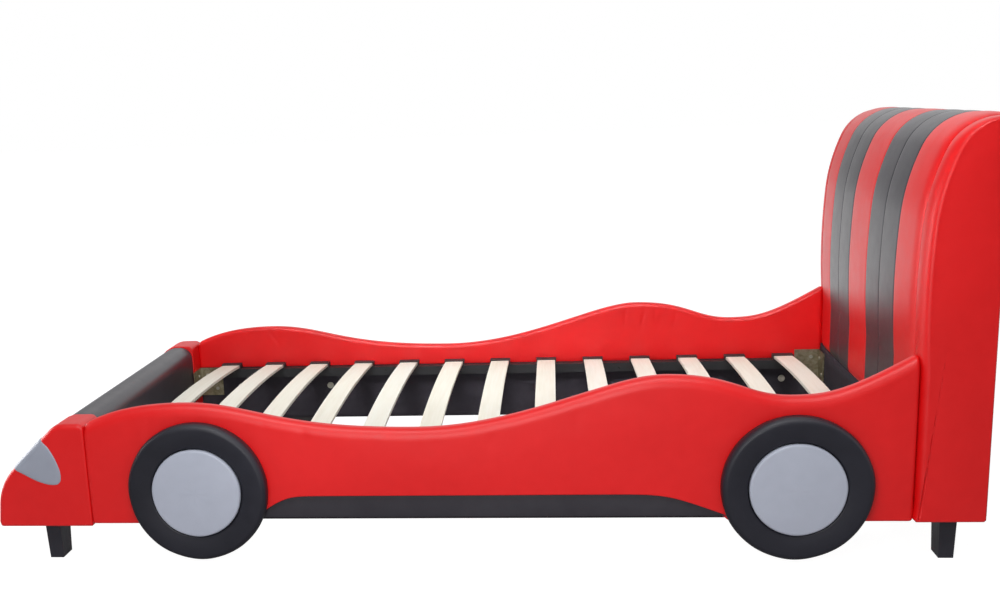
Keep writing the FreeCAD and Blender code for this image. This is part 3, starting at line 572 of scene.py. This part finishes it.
def rail_cover(side):
    """Red cover round the rail board, one closed section at each station along the rail.

    Section, from under the board outwards: bottom wrap, outer face set back behind the sill,
    rounded top, inner face to the hem, and back up inside round the board. Its lower edge is
    raised along the sill. Each end is rounded.
    """
    x = rail_stations()
    into = END_ROLL - np.clip(np.minimum(x - rail_start_x, rail_end_x - x), 0, END_ROLL)
    tuck = END_ROLL - np.sqrt(END_ROLL ** 2 - into ** 2)
    top = wave_height(x) - tuck
    outer = rail_out - tuck * 0.8
    inner = rail_in + tuck * 0.5
    rise = sill_rise(x)
    raised = (sill_floor - rail_floor) * smooth_step(rise, 0.0, 0.010)
    floor = rail_floor + tuck * 0.6 + raised
    depth = WINDOW_DEPTH * smooth_step(rise, 0.0, 0.007)
    sunk = outer - depth
    lip = np.minimum(WINDOW_LIP, rise / 3)
    foot = floor + FOOT_ROLL
    ceiling = np.maximum(sill_floor + rise, foot + 0.001)
    start = ceiling + lip * 1.5
    out_across, out_drop = RAIL_ROLL_OUT
    across, drop = RAIL_ROLL_IN
    end = top - out_drop
    inner_end = top - drop
    rows = [(board_in + BOARD_GAP, floor)]
    rows += [(sunk - FOOT_ROLL * s, floor + FOOT_ROLL * c) for c, s in bend(6)]
    rows += [(sunk, foot + (ceiling - foot) * share) for share in np.linspace(0, 1, 6)[1:]]
    lap = np.minimum(lip, depth)
    rows += [(outer - lap * c, ceiling + lip * s) for c, s in bend(4, QUARTER, 0)]
    rows += [
        (outer + OUTER_SWELL * np.sin(HALF_TURN * share), start + (end - start) * share)
        for share in np.linspace(0, 1, 27)[:-1]
    ]
    rows += [(outer - out_across * c, top - out_drop * s) for c, s in bend(12)]
    rows += [(inner + across * c, top - drop * s) for c, s in bend(12, QUARTER, 0)]
    rows += [
        (inner, inner_end + (hem_height + HEM - inner_end) * share)
        for share in np.linspace(0, 1, 18)[1:]
    ]
    rows += [(inner + HEM * c, hem_height + HEM * s) for c, s in bend(4)[1:]]
    under = board_floor - BOARD_GAP + floor - rail_floor
    rows += [
        (board_in - BOARD_GAP, hem_height + 0.001), (board_in - BOARD_GAP, top - BOARD_DROP),
        (board_out + BOARD_GAP, top - BOARD_DROP), (board_out + BOARD_GAP, under),
        (board_in + BOARD_GAP, under),
    ]
    section = along_x(x, rows)
    y = section[..., 1]
    folds = np.minimum(rail_wrinkles(section[..., 0], section[..., 2], side), LEAST_FOLD)
    face = np.where(y > rail_out - 0.004, 1.0, np.where(y < rail_in + 0.004, -1.0, 0.0))
    away = smooth_step(np.minimum(x - rail_start_x, rail_end_x - x), 0.01, 0.05)
    section[..., 1] = (y + folds * face * away[:, None]) * side
    tube(name_of("padded_rail", side), section, name_of("rail_cover", side), RED, weld=True)


def sill_pad(side):
    """Dark insert at the bottom of the rail's window: a thin pad with rounded edges."""
    x = np.linspace(sill_start_x + 0.002, sill_end_x - 0.002, 260)
    foot = sill_floor + SLIP
    rise = np.maximum(sill_rise(x) - SLIP, 0.0012)
    back = board_out + SLIP
    face = high("sill_right")[1] + 0.002
    roll = np.minimum(SILL_ROLL, rise / 2.5)
    rows = [(back, foot)] + [(face - roll * s, foot + roll * c) for c, s in bend(5)]
    rows += [
        (face + 0.0008 * np.sin(HALF_TURN * share), foot + roll + (rise - 2 * roll) * share)
        for share in np.linspace(0, 1, 8)[1:-1]
    ]
    rows += [(face - roll * s, foot + rise - roll * c) for c, s in bend(5, QUARTER, 0)]
    rows += [(back, foot + rise)]
    loops = along_x(x, rows, side)
    tube(name_of("padded_sill", side), loops, name_of("sill", side), CHARCOAL)


def rail_lining(side):
    """Black cover of the thin pad inside a rail, below the hem and up behind the head bracket."""
    step_x = rail_end_x - BRACKET_REACH
    behind = np.linspace(step_x + SLIP, rail_end_x, 12)
    x = np.concatenate([np.linspace(rail_start_x, step_x, 240), behind])
    top = np.where(x > step_x, high("rail_lining_right")[2], hem_height)
    face = rail_in + 0.0004 + 0.0003 * np.sin(x * 31.0) ** 2
    rows = [(board_in - SLIP, rail_floor)]
    for share in np.linspace(0, 1, 14):
        ripple = 0.0005 * np.sin(x * 47.0 + share * 5.0) * np.sin(share * HALF_TURN)
        rows.append((face + ripple, rail_floor + (top - rail_floor) * share))
    rows.append((board_in - SLIP, top))
    loops = along_x(x, rows, side)
    tube(name_of("lining_rail", side), loops, name_of("rail_lining", side), LINING, fill=1.0)


# ------ outlines
FACE_SWELL = 0.030  # a padded face is level this far in from its edge
RING_SPACING = 0.012  # between the rings of a slab's edge


def unit(vector):
    return vector / np.linalg.norm(vector)


def rounded_outline(corners, spacing=0.006):
    """Closed outline through (x, z, radius) corners as points and outward normals in the XZ plane.

    Straight sides and tangent arcs are sampled about every spacing; an arc's normals turn evenly.
    """
    spots = np.array([corner[:2] for corner in corners])
    count = len(corners)
    trims = []
    for index, (_, _, radius) in enumerate(corners):
        before = unit(spots[index - 1] - spots[index])
        after = unit(spots[(index + 1) % count] - spots[index])
        half = math.acos(np.clip(before @ after, -1, 1)) / 2
        centre = spots[index] + unit(before + after) * radius / math.sin(half)
        trims.append((before, after, radius / math.tan(half), centre, half))
    points = []
    normals = []
    for index, (_, _, radius) in enumerate(corners):
        before, after, reach, centre, half = trims[index]
        start = spots[index] + before * reach - centre
        end = spots[index] + after * reach - centre
        steps = max(int(radius * (HALF_TURN - 2 * half) / spacing), 6)
        turn = math.atan2(start[0] * end[1] - start[1] * end[0], start @ end)
        angles = np.linspace(0, turn, steps + 1)
        ring = grid(
            start[0] * np.cos(angles) - start[1] * np.sin(angles),
            start[0] * np.sin(angles) + start[1] * np.cos(angles),
        )
        points.append(centre + ring)
        normals.append(ring / radius)
        following = trims[(index + 1) % count]
        leave = spots[index] + after * reach
        arrive = spots[(index + 1) % count] + following[0] * following[2]
        length = np.linalg.norm(arrive - leave)
        share = np.linspace(0, 1, max(int(length / spacing), 2) + 1)[1:-1, None]
        along = (arrive - leave) / length
        side_normal = np.array([along[1], -along[0]])
        if side_normal @ (spots[index] - spots.mean(axis=0)) < 0:
            side_normal = -side_normal
        points.append(leave + (arrive - leave) * share)
        normals.append(np.repeat(side_normal[None], len(share), axis=0))
    return np.concatenate(points), np.concatenate(normals)


def moved_in(outline, normals, inset):
    """Outline moved in by inset at each point. Where it would cross itself, it is cut off."""
    moved = outline - normals * inset[:, None]
    gap = np.linalg.norm(moved[:, None] - outline[None], axis=2).min(axis=1)
    clear = gap > inset * 0.985 - 1e-6
    index = np.arange(len(outline))
    return grid(*(
        np.interp(index, index[clear], moved[clear, axis], period=len(outline)) for axis in (0, 1)
    ))


def padded_side(
    stem, outline, normals, y_in, y_out, side, rolls, crown, foot_roll=0.003, reach=1.0, **rest
):
    """Upholstered slab: the outline carried from y_in to y_out, outer edge rolled, face crowned.

    rolls is how far the rolled edge moves in at every point of the outline; across the slab it is
    reach times that. The face then swells by crown, and is level once it is clear of its edge.
    """
    rings = []
    deep = y_out - y_in
    drops = rolls * reach

    def ring(inset, y):
        spots = moved_in(outline, normals, inset)
        rings.append(grid(spots[:, 0], y, spots[:, 1]))

    for c, s in bend(5):
        ring(foot_roll * s + 0 * rolls, y_in + foot_roll * c)
    for share in np.linspace(0, 1, max(int(deep / RING_SPACING), 3))[1:-1]:
        ring(0 * rolls, y_in + foot_roll + (deep - foot_roll - drops) * share)
    for c, s in bend(14):
        ring(rolls * c, y_out - drops * s)
    centre = outline.mean(axis=0)
    edge = rings[-1][:, [0, 2]]
    for shrink in 1 - np.linspace(0, 1, 26)[1:-1] ** 1.4:
        spots = centre + (edge - centre) * shrink
        gap = np.linalg.norm(spots[:, None] - edge[None], axis=2).min(axis=1)
        lift = crown * (1 - np.exp(-(gap / FACE_SWELL) ** 2))
        rings.append(grid(spots[:, 0], y_out + lift, spots[:, 1]))
    loops = np.stack(rings)
    loops[..., 1] *= side
    node = name_of(stem, side)
    tube("padded_" + node.replace("headboard_", ""), loops, node, RED, pinched=True, **rest)


# ------ nose
HOOD_RECESS = 0.0026  # the hood lies this far below the red ends
HOOD_EDGE = 0.003  # and is rounded down by this at its seams
LAMP_PUFF = 0.0026  # swell of the headlight
LAMP_EDGE = 0.0024  # reached this far from its edge
LAMP_SUNK = 0.004  # its hidden back, below the cover


def nose_outline(heel):
    """Side view of the nose: heel, level hood, slope, leaning front face and chin."""
    return rounded_outline([
        (rail_start_x, nose_floor, 0.004),
        (rail_start_x, nose_top, heel),
        (rail_start_x - HOOD_FLAT, nose_top, RIDGE_RADIUS),
        (nose_tip_x + NOSE_LEAN, NOSE_CORNER_HEIGHT, BROW_RADIUS),
        (nose_tip_x, nose_floor, CHIN_RADIUS),
    ])


def nose_end(side):
    """Red padded end section of the nose, its outer edge rolled, less at the foot and the heel."""
    outline, normals = nose_outline(HEEL_RADIUS)
    rolls = NOSE_ROLL * (1 - 0.55 * smooth_step(-normals[:, 1], 0.5, 0.95))
    rolls = rolls * (1 - 0.6 * smooth_step(normals[:, 0], 0.5, 0.98))
    padded_side("nose_end", outline, normals, nose_cap_in, rail_out, side, rolls, crown=0.0004)


def hood():
    """Charcoal cover of the nose between its red ends, a little lower, drawn in at both seams."""
    outline, normals = nose_outline(HOOD_HEEL_RADIUS)
    across, down = HOOD_EDGE * np.array(bend(5)).T
    level = np.linspace(nose_cap_in - HOOD_EDGE, 0, 26)[1:]
    places = np.concatenate([nose_cap_in - across, level])
    insets = np.concatenate([down, 0 * level])
    places = np.concatenate([places, -places[:-1][::-1]])
    insets = np.concatenate([insets, insets[:-1][::-1]]) + HOOD_RECESS
    spots = outline[None] - normals[None] * insets[:, None, None]
    loops = grid(spots[..., 0], places[:, None], spots[..., 1])
    tube("padded_hood", loops, "hood_cover", CHARCOAL, pinched=True)


def headlight(side):
    """Silver petal pad wrapped over the nose's outer edge.

    Its grid runs along the slope and across it: level over the slope, round the rolled edge, then
    down the side. Width narrows to a rounded toe on the side and to a round end on the slope.
    """
    ridge = np.array([rail_start_x - HOOD_FLAT, nose_top])
    along = unit(np.array([nose_tip_x + NOSE_LEAN, NOSE_CORNER_HEIGHT]) - ridge)
    away = np.array([along[1], -along[0]])
    arc = NOSE_ROLL * QUARTER
    span = np.concatenate([
        -LAMP_REACH * np.cos(np.linspace(0.0, QUARTER, 26))[:-1],
        np.linspace(0.0, arc, 9),
        arc + (LAMP_DROP - NOSE_ROLL) * np.sin(np.linspace(0.0, QUARTER, 36))[1:],
    ])
    turn = np.clip(span, 0, arc) / NOSE_ROLL
    beyond = np.maximum(span - arc, 0)
    depth = NOSE_ROLL * (1 - np.cos(turn)) + beyond
    round_end = np.sqrt(np.clip(1 - (span / LAMP_REACH) ** 2, 0, 1))
    petal = np.clip(1 - (depth / LAMP_DROP) ** 1.5, 0, 1) ** 0.55
    width = np.where(span < 0, round_end, petal)[:, None] * LAMP_LENGTH / 2
    middle = LAMP_START + LAMP_LENGTH / 2 - LAMP_SHIFT * smooth_step(depth, 0.0, 0.035)[:, None]
    across = np.sin(np.linspace(-QUARTER, QUARTER, 33))
    run = middle + width * across
    ends = np.minimum(span - span[0], span[-1] - span)[:, None]
    border = np.minimum(width * (1 - np.abs(across)), ends)
    puff = LAMP_PUFF * (1 - np.exp(-border / LAMP_EDGE)) - 0.0004
    level_y = rail_out - NOSE_ROLL + np.minimum(span, 0) + NOSE_ROLL * np.sin(turn)

    def lifted(amount):
        y = level_y[:, None] + amount * np.sin(turn)[:, None]
        rise = -depth[:, None] + amount * np.cos(turn)[:, None]
        x = ridge[0] + along[0] * run + away[0] * rise
        z = ridge[1] + along[1] * run + away[1] * rise
        return grid(x, y * side, z)

    points, faces = closed_sheet(lifted(puff), lifted(-LAMP_SUNK))
    node = name_of("headlight", side)
    piece = add_piece("padded_" + node, points, faces, node, SILVER, fill=0.8, weld=True)
    # the headlight wears the darker copy of the silver: painted shade
    dress(piece, SILVER_PAINTED_SHADE)


# ------ headboard
PANEL_SWELL = 0.0007  # each strip's own slight swell
PANEL_BACK = 0.001 - PANEL_PAD  # a strip's hidden back, below its face
WING_FOOT = 0.006  # small roll round the wing's foot and rear


def head_line(inset, foot, steps=150):
    """The headboard's front from foot to the top's rear edge, as XZ points and outward normals.

    Upright, then the swell's large arc, the shoulder and the crown, all with shared tangents, then
    level. The line is moved in by inset. Its points are evenly spread.
    """
    front = rail_end_x
    half = BULGE_HEIGHT / 2
    swell = (half ** 2 + BULGE ** 2) / (2 * BULGE)
    tilt = math.asin(half / swell)
    blend = SHOULDER_RADIUS - CROWN_RADIUS
    shoulder_x = front + SHOULDER_RADIUS * math.cos(tilt)
    crown_x = shoulder_x - blend * math.cos(SHOULDER_TURN)
    crown_z = head_top - CROWN_RADIUS
    shoulder_z = crown_z - blend * math.sin(SHOULDER_TURN)
    swell_x = front - BULGE + swell
    swell_z = shoulder_z + SHOULDER_RADIUS * math.sin(tilt) - half
    low_angle = -math.acos((swell_x - front - inset) / (swell - inset))

    def arc(centre_x, centre_z, radius, start, end):
        turn = np.linspace(start, end, 60)[1:]
        radius = radius - inset
        return grid(centre_x - radius * np.cos(turn), centre_z + radius * np.sin(turn))

    low_z = swell_z + (swell - inset) * math.sin(low_angle)
    points = np.concatenate([
        grid(front + inset, np.linspace(foot, low_z, 30)),
        arc(swell_x, swell_z, swell, low_angle, tilt),
        arc(shoulder_x, shoulder_z, SHOULDER_RADIUS, tilt, SHOULDER_TURN),
        arc(crown_x, crown_z, CROWN_RADIUS, SHOULDER_TURN, QUARTER),
        [[head_rear_x, head_top - inset]],
    ])
    step = np.linalg.norm(np.diff(points, axis=0), axis=1)
    run = np.concatenate([[0], np.cumsum(step)])
    even = np.linspace(0, run[-1], steps)
    points = grid(*(np.interp(even, run, points[:, axis]) for axis in (0, 1)))
    tangent = np.gradient(points, axis=0)
    tangent /= np.linalg.norm(tangent, axis=1)[:, None]
    return points, grid(-tangent[:, 1], tangent[:, 0])


def fullness(y):
    """How much fuller the headboard's front is at y than at its corners, a little less there."""
    half = high("headboard_panel_right")[1]
    return PLAN_CROWN * (1 - (y / half) ** 2) - 0.002


def upright_panel(node, look, y_from, y_to, roll_from, roll_to, name=None):
    """Padded strip carried up the headboard's front and over its top.

    Its section is a flat-backed pillow: rounded long edges, each (across, down), slight swell.
    """
    line, normals = head_line(-PANEL_PROUD, panel_floor)
    flat_from = y_from + roll_from[0]
    flat_width = y_to - roll_to[0] - flat_from
    section = [(y_from + roll_from[0] * c, -roll_from[1] * s) for c, s in bend(7)]
    section += [
        (flat_from + flat_width * share, PANEL_SWELL * math.sin(HALF_TURN * share))
        for share in np.linspace(0, 1, 16)[1:-1]
    ]
    section += [(y_to - roll_to[0] * c, -roll_to[1] * s) for c, s in bend(7, QUARTER, 0)]
    section += [(y_to, PANEL_BACK), (y_from, PANEL_BACK)]
    across, rise = np.array(section).T
    foot_tuck = 0.003 * (1 - np.minimum(np.arange(len(line)), 3) / 3.0)
    forward = np.clip(-normals[:, :1], 0, 1)
    fuller = np.where(rise > -PANEL_PAD / 2, forward * fullness(across), 0.0)
    lift = rise - foot_tuck[:, None] + fuller
    loops = grid(line[:, :1] + normals[:, :1] * lift, across, line[:, 1:] + normals[:, 1:] * lift)
    tube(name or "padded_" + node, loops, node, look)


def head_panels():
    """The headboard's front: red centre, two dark strips either side of it, red outer panels."""
    node = "headboard_panel_centre"
    half = high(node)[1]
    upright_panel(node, RED, -half, half, PANEL_ROLL, PANEL_ROLL, name="padded_panel_centre")
    strips = (
        ("stripe_inner", CHARCOAL, PANEL_ROLL), ("stripe_outer", CHARCOAL, PANEL_ROLL),
        ("headboard_panel", RED, CREASE_ROLL),
    )
    for side in SIDES:
        for stem, look, roll in strips:
            node = name_of(stem, side)
            rolls = (PANEL_ROLL, roll)[::side]
            upright_panel(node, look, low(node)[1], high(node)[1], *rolls)


def wing(side):
    """Padded side of the headboard: flat face, wide soft roll along the front and over the top."""
    line, normals = head_line(0.0, head_floor + WING_FOOT, steps=170)
    down = np.linspace(line[-1, 1] - 0.004, head_floor + WING_FOOT, 60)
    under = np.linspace(head_rear_x - WING_FOOT, rail_end_x + WING_FOOT, 18)
    outline = np.concatenate([line, grid(head_rear_x, down), grid(under, head_floor)])
    away = np.concatenate([normals, grid(1.0, 0 * down), grid(0 * under, -1.0)])
    fade = smooth_step(line[:, 0], rail_end_x + 0.005, head_rear_x - 0.001)
    lift_off = smooth_step(line[:, 1], head_floor, head_floor + 0.04)
    rolls = np.full(len(outline), WING_FOOT)
    rolls[:len(line)] = (WING_ROLL * (1 - fade) + WING_FOOT * fade) * (0.4 + 0.6 * lift_off)
    padded_side(
        "headboard_wing", outline, away, wing_in, wing_out, side, rolls,
        crown=0.002, foot_roll=0.0065, reach=WING_ROLL_REACH, weld=True,
    )


def head_lining():
    """Black cover on the foot of the headboard's front, below the stripes."""
    half = high("headboard_lining")[1]
    floor = low("headboard_lining")[2]
    top = panel_floor - SLIP
    x_face = rail_end_x - PANEL_PROUD
    rows = [(x_face - PANEL_BACK, floor, 0.0)]
    rows += [(x_face, floor + (top - floor) * share, 1.0) for share in np.linspace(0, 1, 12)]
    rows += [(x_face - PANEL_BACK, top, 0.0)]
    x, z, full = np.array(rows).T
    y = np.linspace(-half, half, 61)[:, None]
    loops = grid(x - (fullness(y) - 0.001) * full, y, z)
    tube("lining_headboard", loops, "headboard_lining", LINING, fill=1.0)


def back_cloth():
    """Black cloth over the back of the headboard, a little slack between its tacked edges."""
    node = "headboard_back_cover"
    lo = low(node)
    hi = high(node)
    across = np.linspace(lo[1], hi[1], 70)[:, None]
    up = np.linspace(lo[2], hi[2], 70)
    edge_y = np.minimum(across - lo[1], hi[1] - across)
    edge_z = np.minimum(up - lo[2], hi[2] - up)
    held = smooth_step(np.minimum(edge_y, edge_z), 0.0, 0.04)
    slack = 0.0006 * np.sin(across * 19.0) * np.sin(up * 23.0)
    slack += 0.0004 * np.sin(across * 47.0 + up * 31.0)
    face = grid(hi[0] - 0.0014 + slack * held, across, up)
    points, faces = closed_sheet(face, grid(lo[0], across, up))
    piece = add_piece("cloth_headboard_back", points, faces, node, LINING, fill=None)


# ------ wheels
TYRE_ROLL = (0.013, 0.016)  # rounded outer edge of the tyre: inwards and down
TYRE_INNER_ROLL = 0.006
TYRE_DIP = 0.0045  # the tyre's face falls this much towards the hub
HUB_ROLL = 0.006
HUB_CROWN = 0.0035  # pillow of the hub's face


def turned_pad(profile, node, side, look, waver):
    """Pad turned about a wheel's axis from (radius, distance out) points, uneven by waver."""
    centre = (low(node) + high(node)) / 2
    turn = np.linspace(0, 2 * HALF_TURN, 161)[:-1, None]
    radius, out = profile.T
    lobes = np.sin(3 * turn + 0.7) + 0.6 * np.sin(7 * turn + centre[0]) + 0.4 * np.sin(11 * turn)
    free = smooth_step(out, out.min() + 0.006, out.min() + 0.016)
    free = free * (radius > radius.min() + 0.001)
    uneven = waver * lobes * free
    grown = radius + uneven
    x = centre[0] + grown * np.cos(turn)
    z = centre[2] + grown * np.sin(turn)
    loops = grid(x, side * (out + 0.4 * uneven), z)
    points = loops.reshape(-1, 3)
    quads = grid_faces(*loops.shape[:2], wrap_rows=True, wrap_columns=True)
    add_piece("padded_" + node, points, outward(points, quads), node, look, weld=True)


def arc_points(centre, radius, start, end, steps):
    """Points on an arc in a turned profile; angles from the outward radius towards the face."""
    angle = np.linspace(start, end, steps)
    return grid(centre[0] + radius * np.cos(angle), centre[1] + radius * np.sin(angle))


def tyre_profile(node):
    """Ring: flat back, wide roll outside, domed face that dips to a smaller roll at the hub."""
    radius = (high(node)[2] - low(node)[2]) / 2 - 0.0008
    inner = (high("hubcap_front_right")[2] - low("hubcap_front_right")[2]) / 2 + 0.0012
    across, deep = TYRE_ROLL
    face = tyre_out - 0.001
    step = rail_out + 0.0006
    back = [(inner, backing_out), (radius - 0.012, backing_out), (radius - 0.0118, step)]
    rolled = [(radius - across * c, face - deep * s) for c, s in bend(12)]
    dome = np.linspace(0, 1, 16)[1:-1]
    dome_from = radius - across
    dome_to = inner + TYRE_INNER_ROLL
    domed = grid(dome_from + (dome_to - dome_from) * dome, face - TYRE_DIP * dome ** 2)
    centre = (dome_to, face - TYRE_DIP - TYRE_INNER_ROLL)
    inside = arc_points(centre, TYRE_INNER_ROLL, QUARTER, HALF_TURN, 7)
    return np.concatenate([back, [(radius - 0.001, step)], rolled, domed, inside])


def hub_profile(node):
    """Disc: flat back, rolled rim and a gently pillowed face."""
    radius = (high(node)[2] - low(node)[2]) / 2 - 0.0004
    face = hub_out - 0.004
    rim = radius - HUB_ROLL
    share = np.linspace(0, 1, 18)[1:]
    crown = grid(rim * (1 - share), face + HUB_CROWN * (1 - (1 - share) ** 2))
    back = backing_out + 0.0002
    rounded = arc_points((rim, face - HUB_ROLL), HUB_ROLL, 0.0, QUARTER, 10)
    return np.concatenate([[(0.0, back), (radius, back)], rounded, crown])


def wheels():
    for side in SIDES:
        for place in ("front", "rear"):
            tyre = name_of("tyre_" + place, side)
            hub = name_of("hubcap_" + place, side)
            turned_pad(tyre_profile(tyre), tyre, side, BLACK, 0.0005)
            turned_pad(hub_profile(hub), hub, side, SILVER, 0.00025)


# ------ finishes of the construction's own pieces
PLAIN = {
    "rail_board_": "plywood", "headboard_frame": "plywood", "nose_frame": "plywood",
    "slat_ledge": "black_timber", "wheel_backing": "black_timber", "slat_caps": "cap_plastic",
    "front_legs": "black_leg", "rear_legs": "black_leg", "corner_brackets": "zinc_steel",
    "bracket_screws": "zinc_screws", "ledge_screws": "black_screws",
    "wheel_bolts": "zinc_screws", "leg_bolts": "zinc_screws",
}
SLATS = 13


def finish_nodes():
    """Materials of every piece that is shown as it was built."""
    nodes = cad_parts
    for name, piece in nodes.items():
        for stem, look in PLAIN.items():
            if name.startswith(stem):
                dress(piece, look)
    seeds = np.random.default_rng(42)
    for index in range(1, SLATS + 1):
        warm = seeds.uniform(0.0, 1.0)
        deep = (0.87 - 0.03 * warm, 0.84 - 0.04 * warm, 0.73 - 0.06 * warm)
        light = (0.93, 0.925 - 0.02 * warm, 0.85 - 0.05 * warm)
        name = "slat_%02d" % index
        bent_birch("birch_" + name, deep, light, offset=float(index))
        dress(nodes[name], "birch_" + name)


# ------ studio
CAMERA_SPOT = (0.2045, -3.0739, 1.0688)
CAMERA_TURN = (-6.447, 12.661, -2.425)  # yaw, pitch and roll in degrees
LENS = 42.30
SENSOR = 36.0
SHIFT = (0.0745, 0.0678)
FLOOR_HALF = 30.0
FLOOR_TONE = 0.6
FLOOR_GLOW = 0.955  # what the camera sees of the floor: this light,
FLOOR_SHADE = 0.22  # and this much of the light that falls on it
ROOM_LIGHT = 0.28  # soft light from all round
ROOM_FRONT = 0.22  # what reflections see on the camera's side
ROOM_BACK = 1.25  # and behind the bed
ROOM_LEAN = (0.85, 0.80, 0.75)  # the way from dim to bright
ROOM_SPAN = (0.2, 0.95)
FLOOR_BACK = 1.55  # floor behind the bed, in reflections
FLOOR_SPAN = (-0.4, 0.9)
# Lamps: name, place, target, (width, height), watts, spread in degrees.
LAMPS = [
    ("front", (-0.1, -2.2, 0.9), (-0.1, -0.45, 0.25), (1.1, 0.8), 15.5, 180.0),
    ("over", (-0.2, -2.8, 5.0), (-0.1, 0.1, 0.3), (3.4, 2.0), 136.0, 180.0),
    ("inside", (0.15, -1.6, 2.3), (0.2, 0.30, 0.28), (1.6, 0.2), 1.8, 26.0),
    ("nose_side", (-3.0, 0.3, 0.75), (0.9, 0.1, 0.5), (1.5, 0.9), 37.0, 180.0),
]


def make_camera():
    """Camera of the photograph: turned by yaw and pitch, then rolled about its line of sight."""
    yaw, pitch, roll = (math.radians(turn) for turn in CAMERA_TURN)
    forward = math.cos(pitch)
    ahead = Vector((math.sin(yaw) * forward, math.cos(yaw) * forward, -math.sin(pitch)))
    level = Vector((math.cos(yaw), -math.sin(yaw), 0.0))
    upright = level.cross(ahead)
    right = level * math.cos(roll) + upright * math.sin(roll)
    up = upright * math.cos(roll) - level * math.sin(roll)
    data = bpy.data.cameras.new("camera")
    data.lens = LENS
    data.sensor_width = SENSOR
    data.shift_x, data.shift_y = SHIFT
    camera = add_object("camera", data)
    turn = Matrix((right, up, -ahead)).transposed()
    camera.matrix_world = Matrix.Translation(CAMERA_SPOT) @ turn.to_4x4()
    bpy.context.scene.camera = camera


def make_lamp(name, spot, target, size, power, spread):
    data = bpy.data.lights.new(name, "AREA")
    data.shape = "RECTANGLE"
    data.size, data.size_y = size
    data.energy = power
    data.spread = math.radians(spread)
    lamp = add_object(name, data)
    lamp.location = spot
    lamp.rotation_mode = "QUATERNION"
    lamp.rotation_quaternion = (Vector(target) - Vector(spot)).to_track_quat("-Z", "Y")


def split_rays(graph, plain, mirrored, bright):
    """Bright where the camera looks, also through things; mirrored to reflections; else plain."""
    camera, through, glossy = [
        graph.node("ShaderNodeLightPath", output=kind)
        for kind in ("Is Camera Ray", "Is Transmission Ray", "Is Glossy Ray")
    ]
    seen = graph.node("ShaderNodeMath", {"operation": "MAXIMUM"}, {0: camera, 1: through})
    unseen = graph.node("ShaderNodeMixShader", inputs={0: glossy, 1: plain, 2: mirrored})
    return graph.node("ShaderNodeMixShader", inputs={0: seen, 1: unseen, 2: bright})


def graded(graph, coordinate, lean, span, strengths):
    """Strength of light that grows smoothly, over span, along a lean direction in space."""
    place = graph.node("ShaderNodeTexCoord", output=coordinate)
    inputs = {0: place, 1: lean}
    along = graph.node("ShaderNodeVectorMath", {"operation": "DOT_PRODUCT"}, inputs, "Value")
    return graph.between(along, *span, *strengths, kind="SMOOTHSTEP")


def make_world():
    """White to the camera, even for soft light; reflections see a dim room and a white wall."""
    world = bpy.data.worlds.new("studio")
    bpy.context.scene.world = world
    world.use_nodes = True
    graph = Graph(world.node_tree)
    wall = graded(graph, "Generated", ROOM_LEAN, ROOM_SPAN, (ROOM_FRONT, ROOM_BACK))
    skies = [
        graph.node("ShaderNodeBackground", inputs={"Color": grey(1.0), "Strength": strength})
        for strength in (ROOM_LIGHT, wall, 1.0)
    ]
    graph.node("ShaderNodeOutputWorld", inputs={"Surface": split_rays(graph, *skies)})


def make_floor():
    """Pale floor that looks white to the camera and still takes the bed's soft shadow."""
    mesh = bpy.data.meshes.new("floor")
    half = FLOOR_HALF
    corners = [(-half, -half, 0), (half, -half, 0), (half, half, 0), (-half, half, 0)]
    mesh.from_pydata(corners, [], [(0, 1, 2, 3)])
    material = bpy.data.materials.new("studio_floor")
    material.use_nodes = True
    graph = Graph(material.node_tree)
    plain = graph.node("ShaderNodeBsdfDiffuse", inputs={"Color": grey(FLOOR_TONE)})
    mirrored = graph.node("ShaderNodeEmission", inputs={
        "Strength": graded(graph, "Object", (0, 1, 0), FLOOR_SPAN, (ROOM_FRONT, FLOOR_BACK)),
    })
    bright = graph.node("ShaderNodeAddShader", inputs={
        0: graph.node("ShaderNodeEmission", inputs={"Strength": FLOOR_GLOW}),
        1: graph.node("ShaderNodeBsdfDiffuse", inputs={"Color": grey(FLOOR_SHADE)}),
    })
    surface = split_rays(graph, plain, mirrored, bright)
    graph.node("ShaderNodeOutputMaterial", inputs={"Surface": surface})
    mesh.materials.append(material)
    add_object("floor", mesh)


def make_studio():
    make_camera()
    make_world()
    make_floor()
    for lamp in LAMPS:
        make_lamp(*lamp)
    bpy.context.scene.view_settings.view_transform = "Standard"


# ------ the bed
def dress_bed():
    for side in SIDES:
        for build in (rail_cover, sill_pad, rail_lining, nose_end, headlight, wing):
            build(side)
    hood()
    head_panels()
    head_lining()
    back_cloth()
    wheels()
    finish_nodes()


dress_bed()
make_studio()
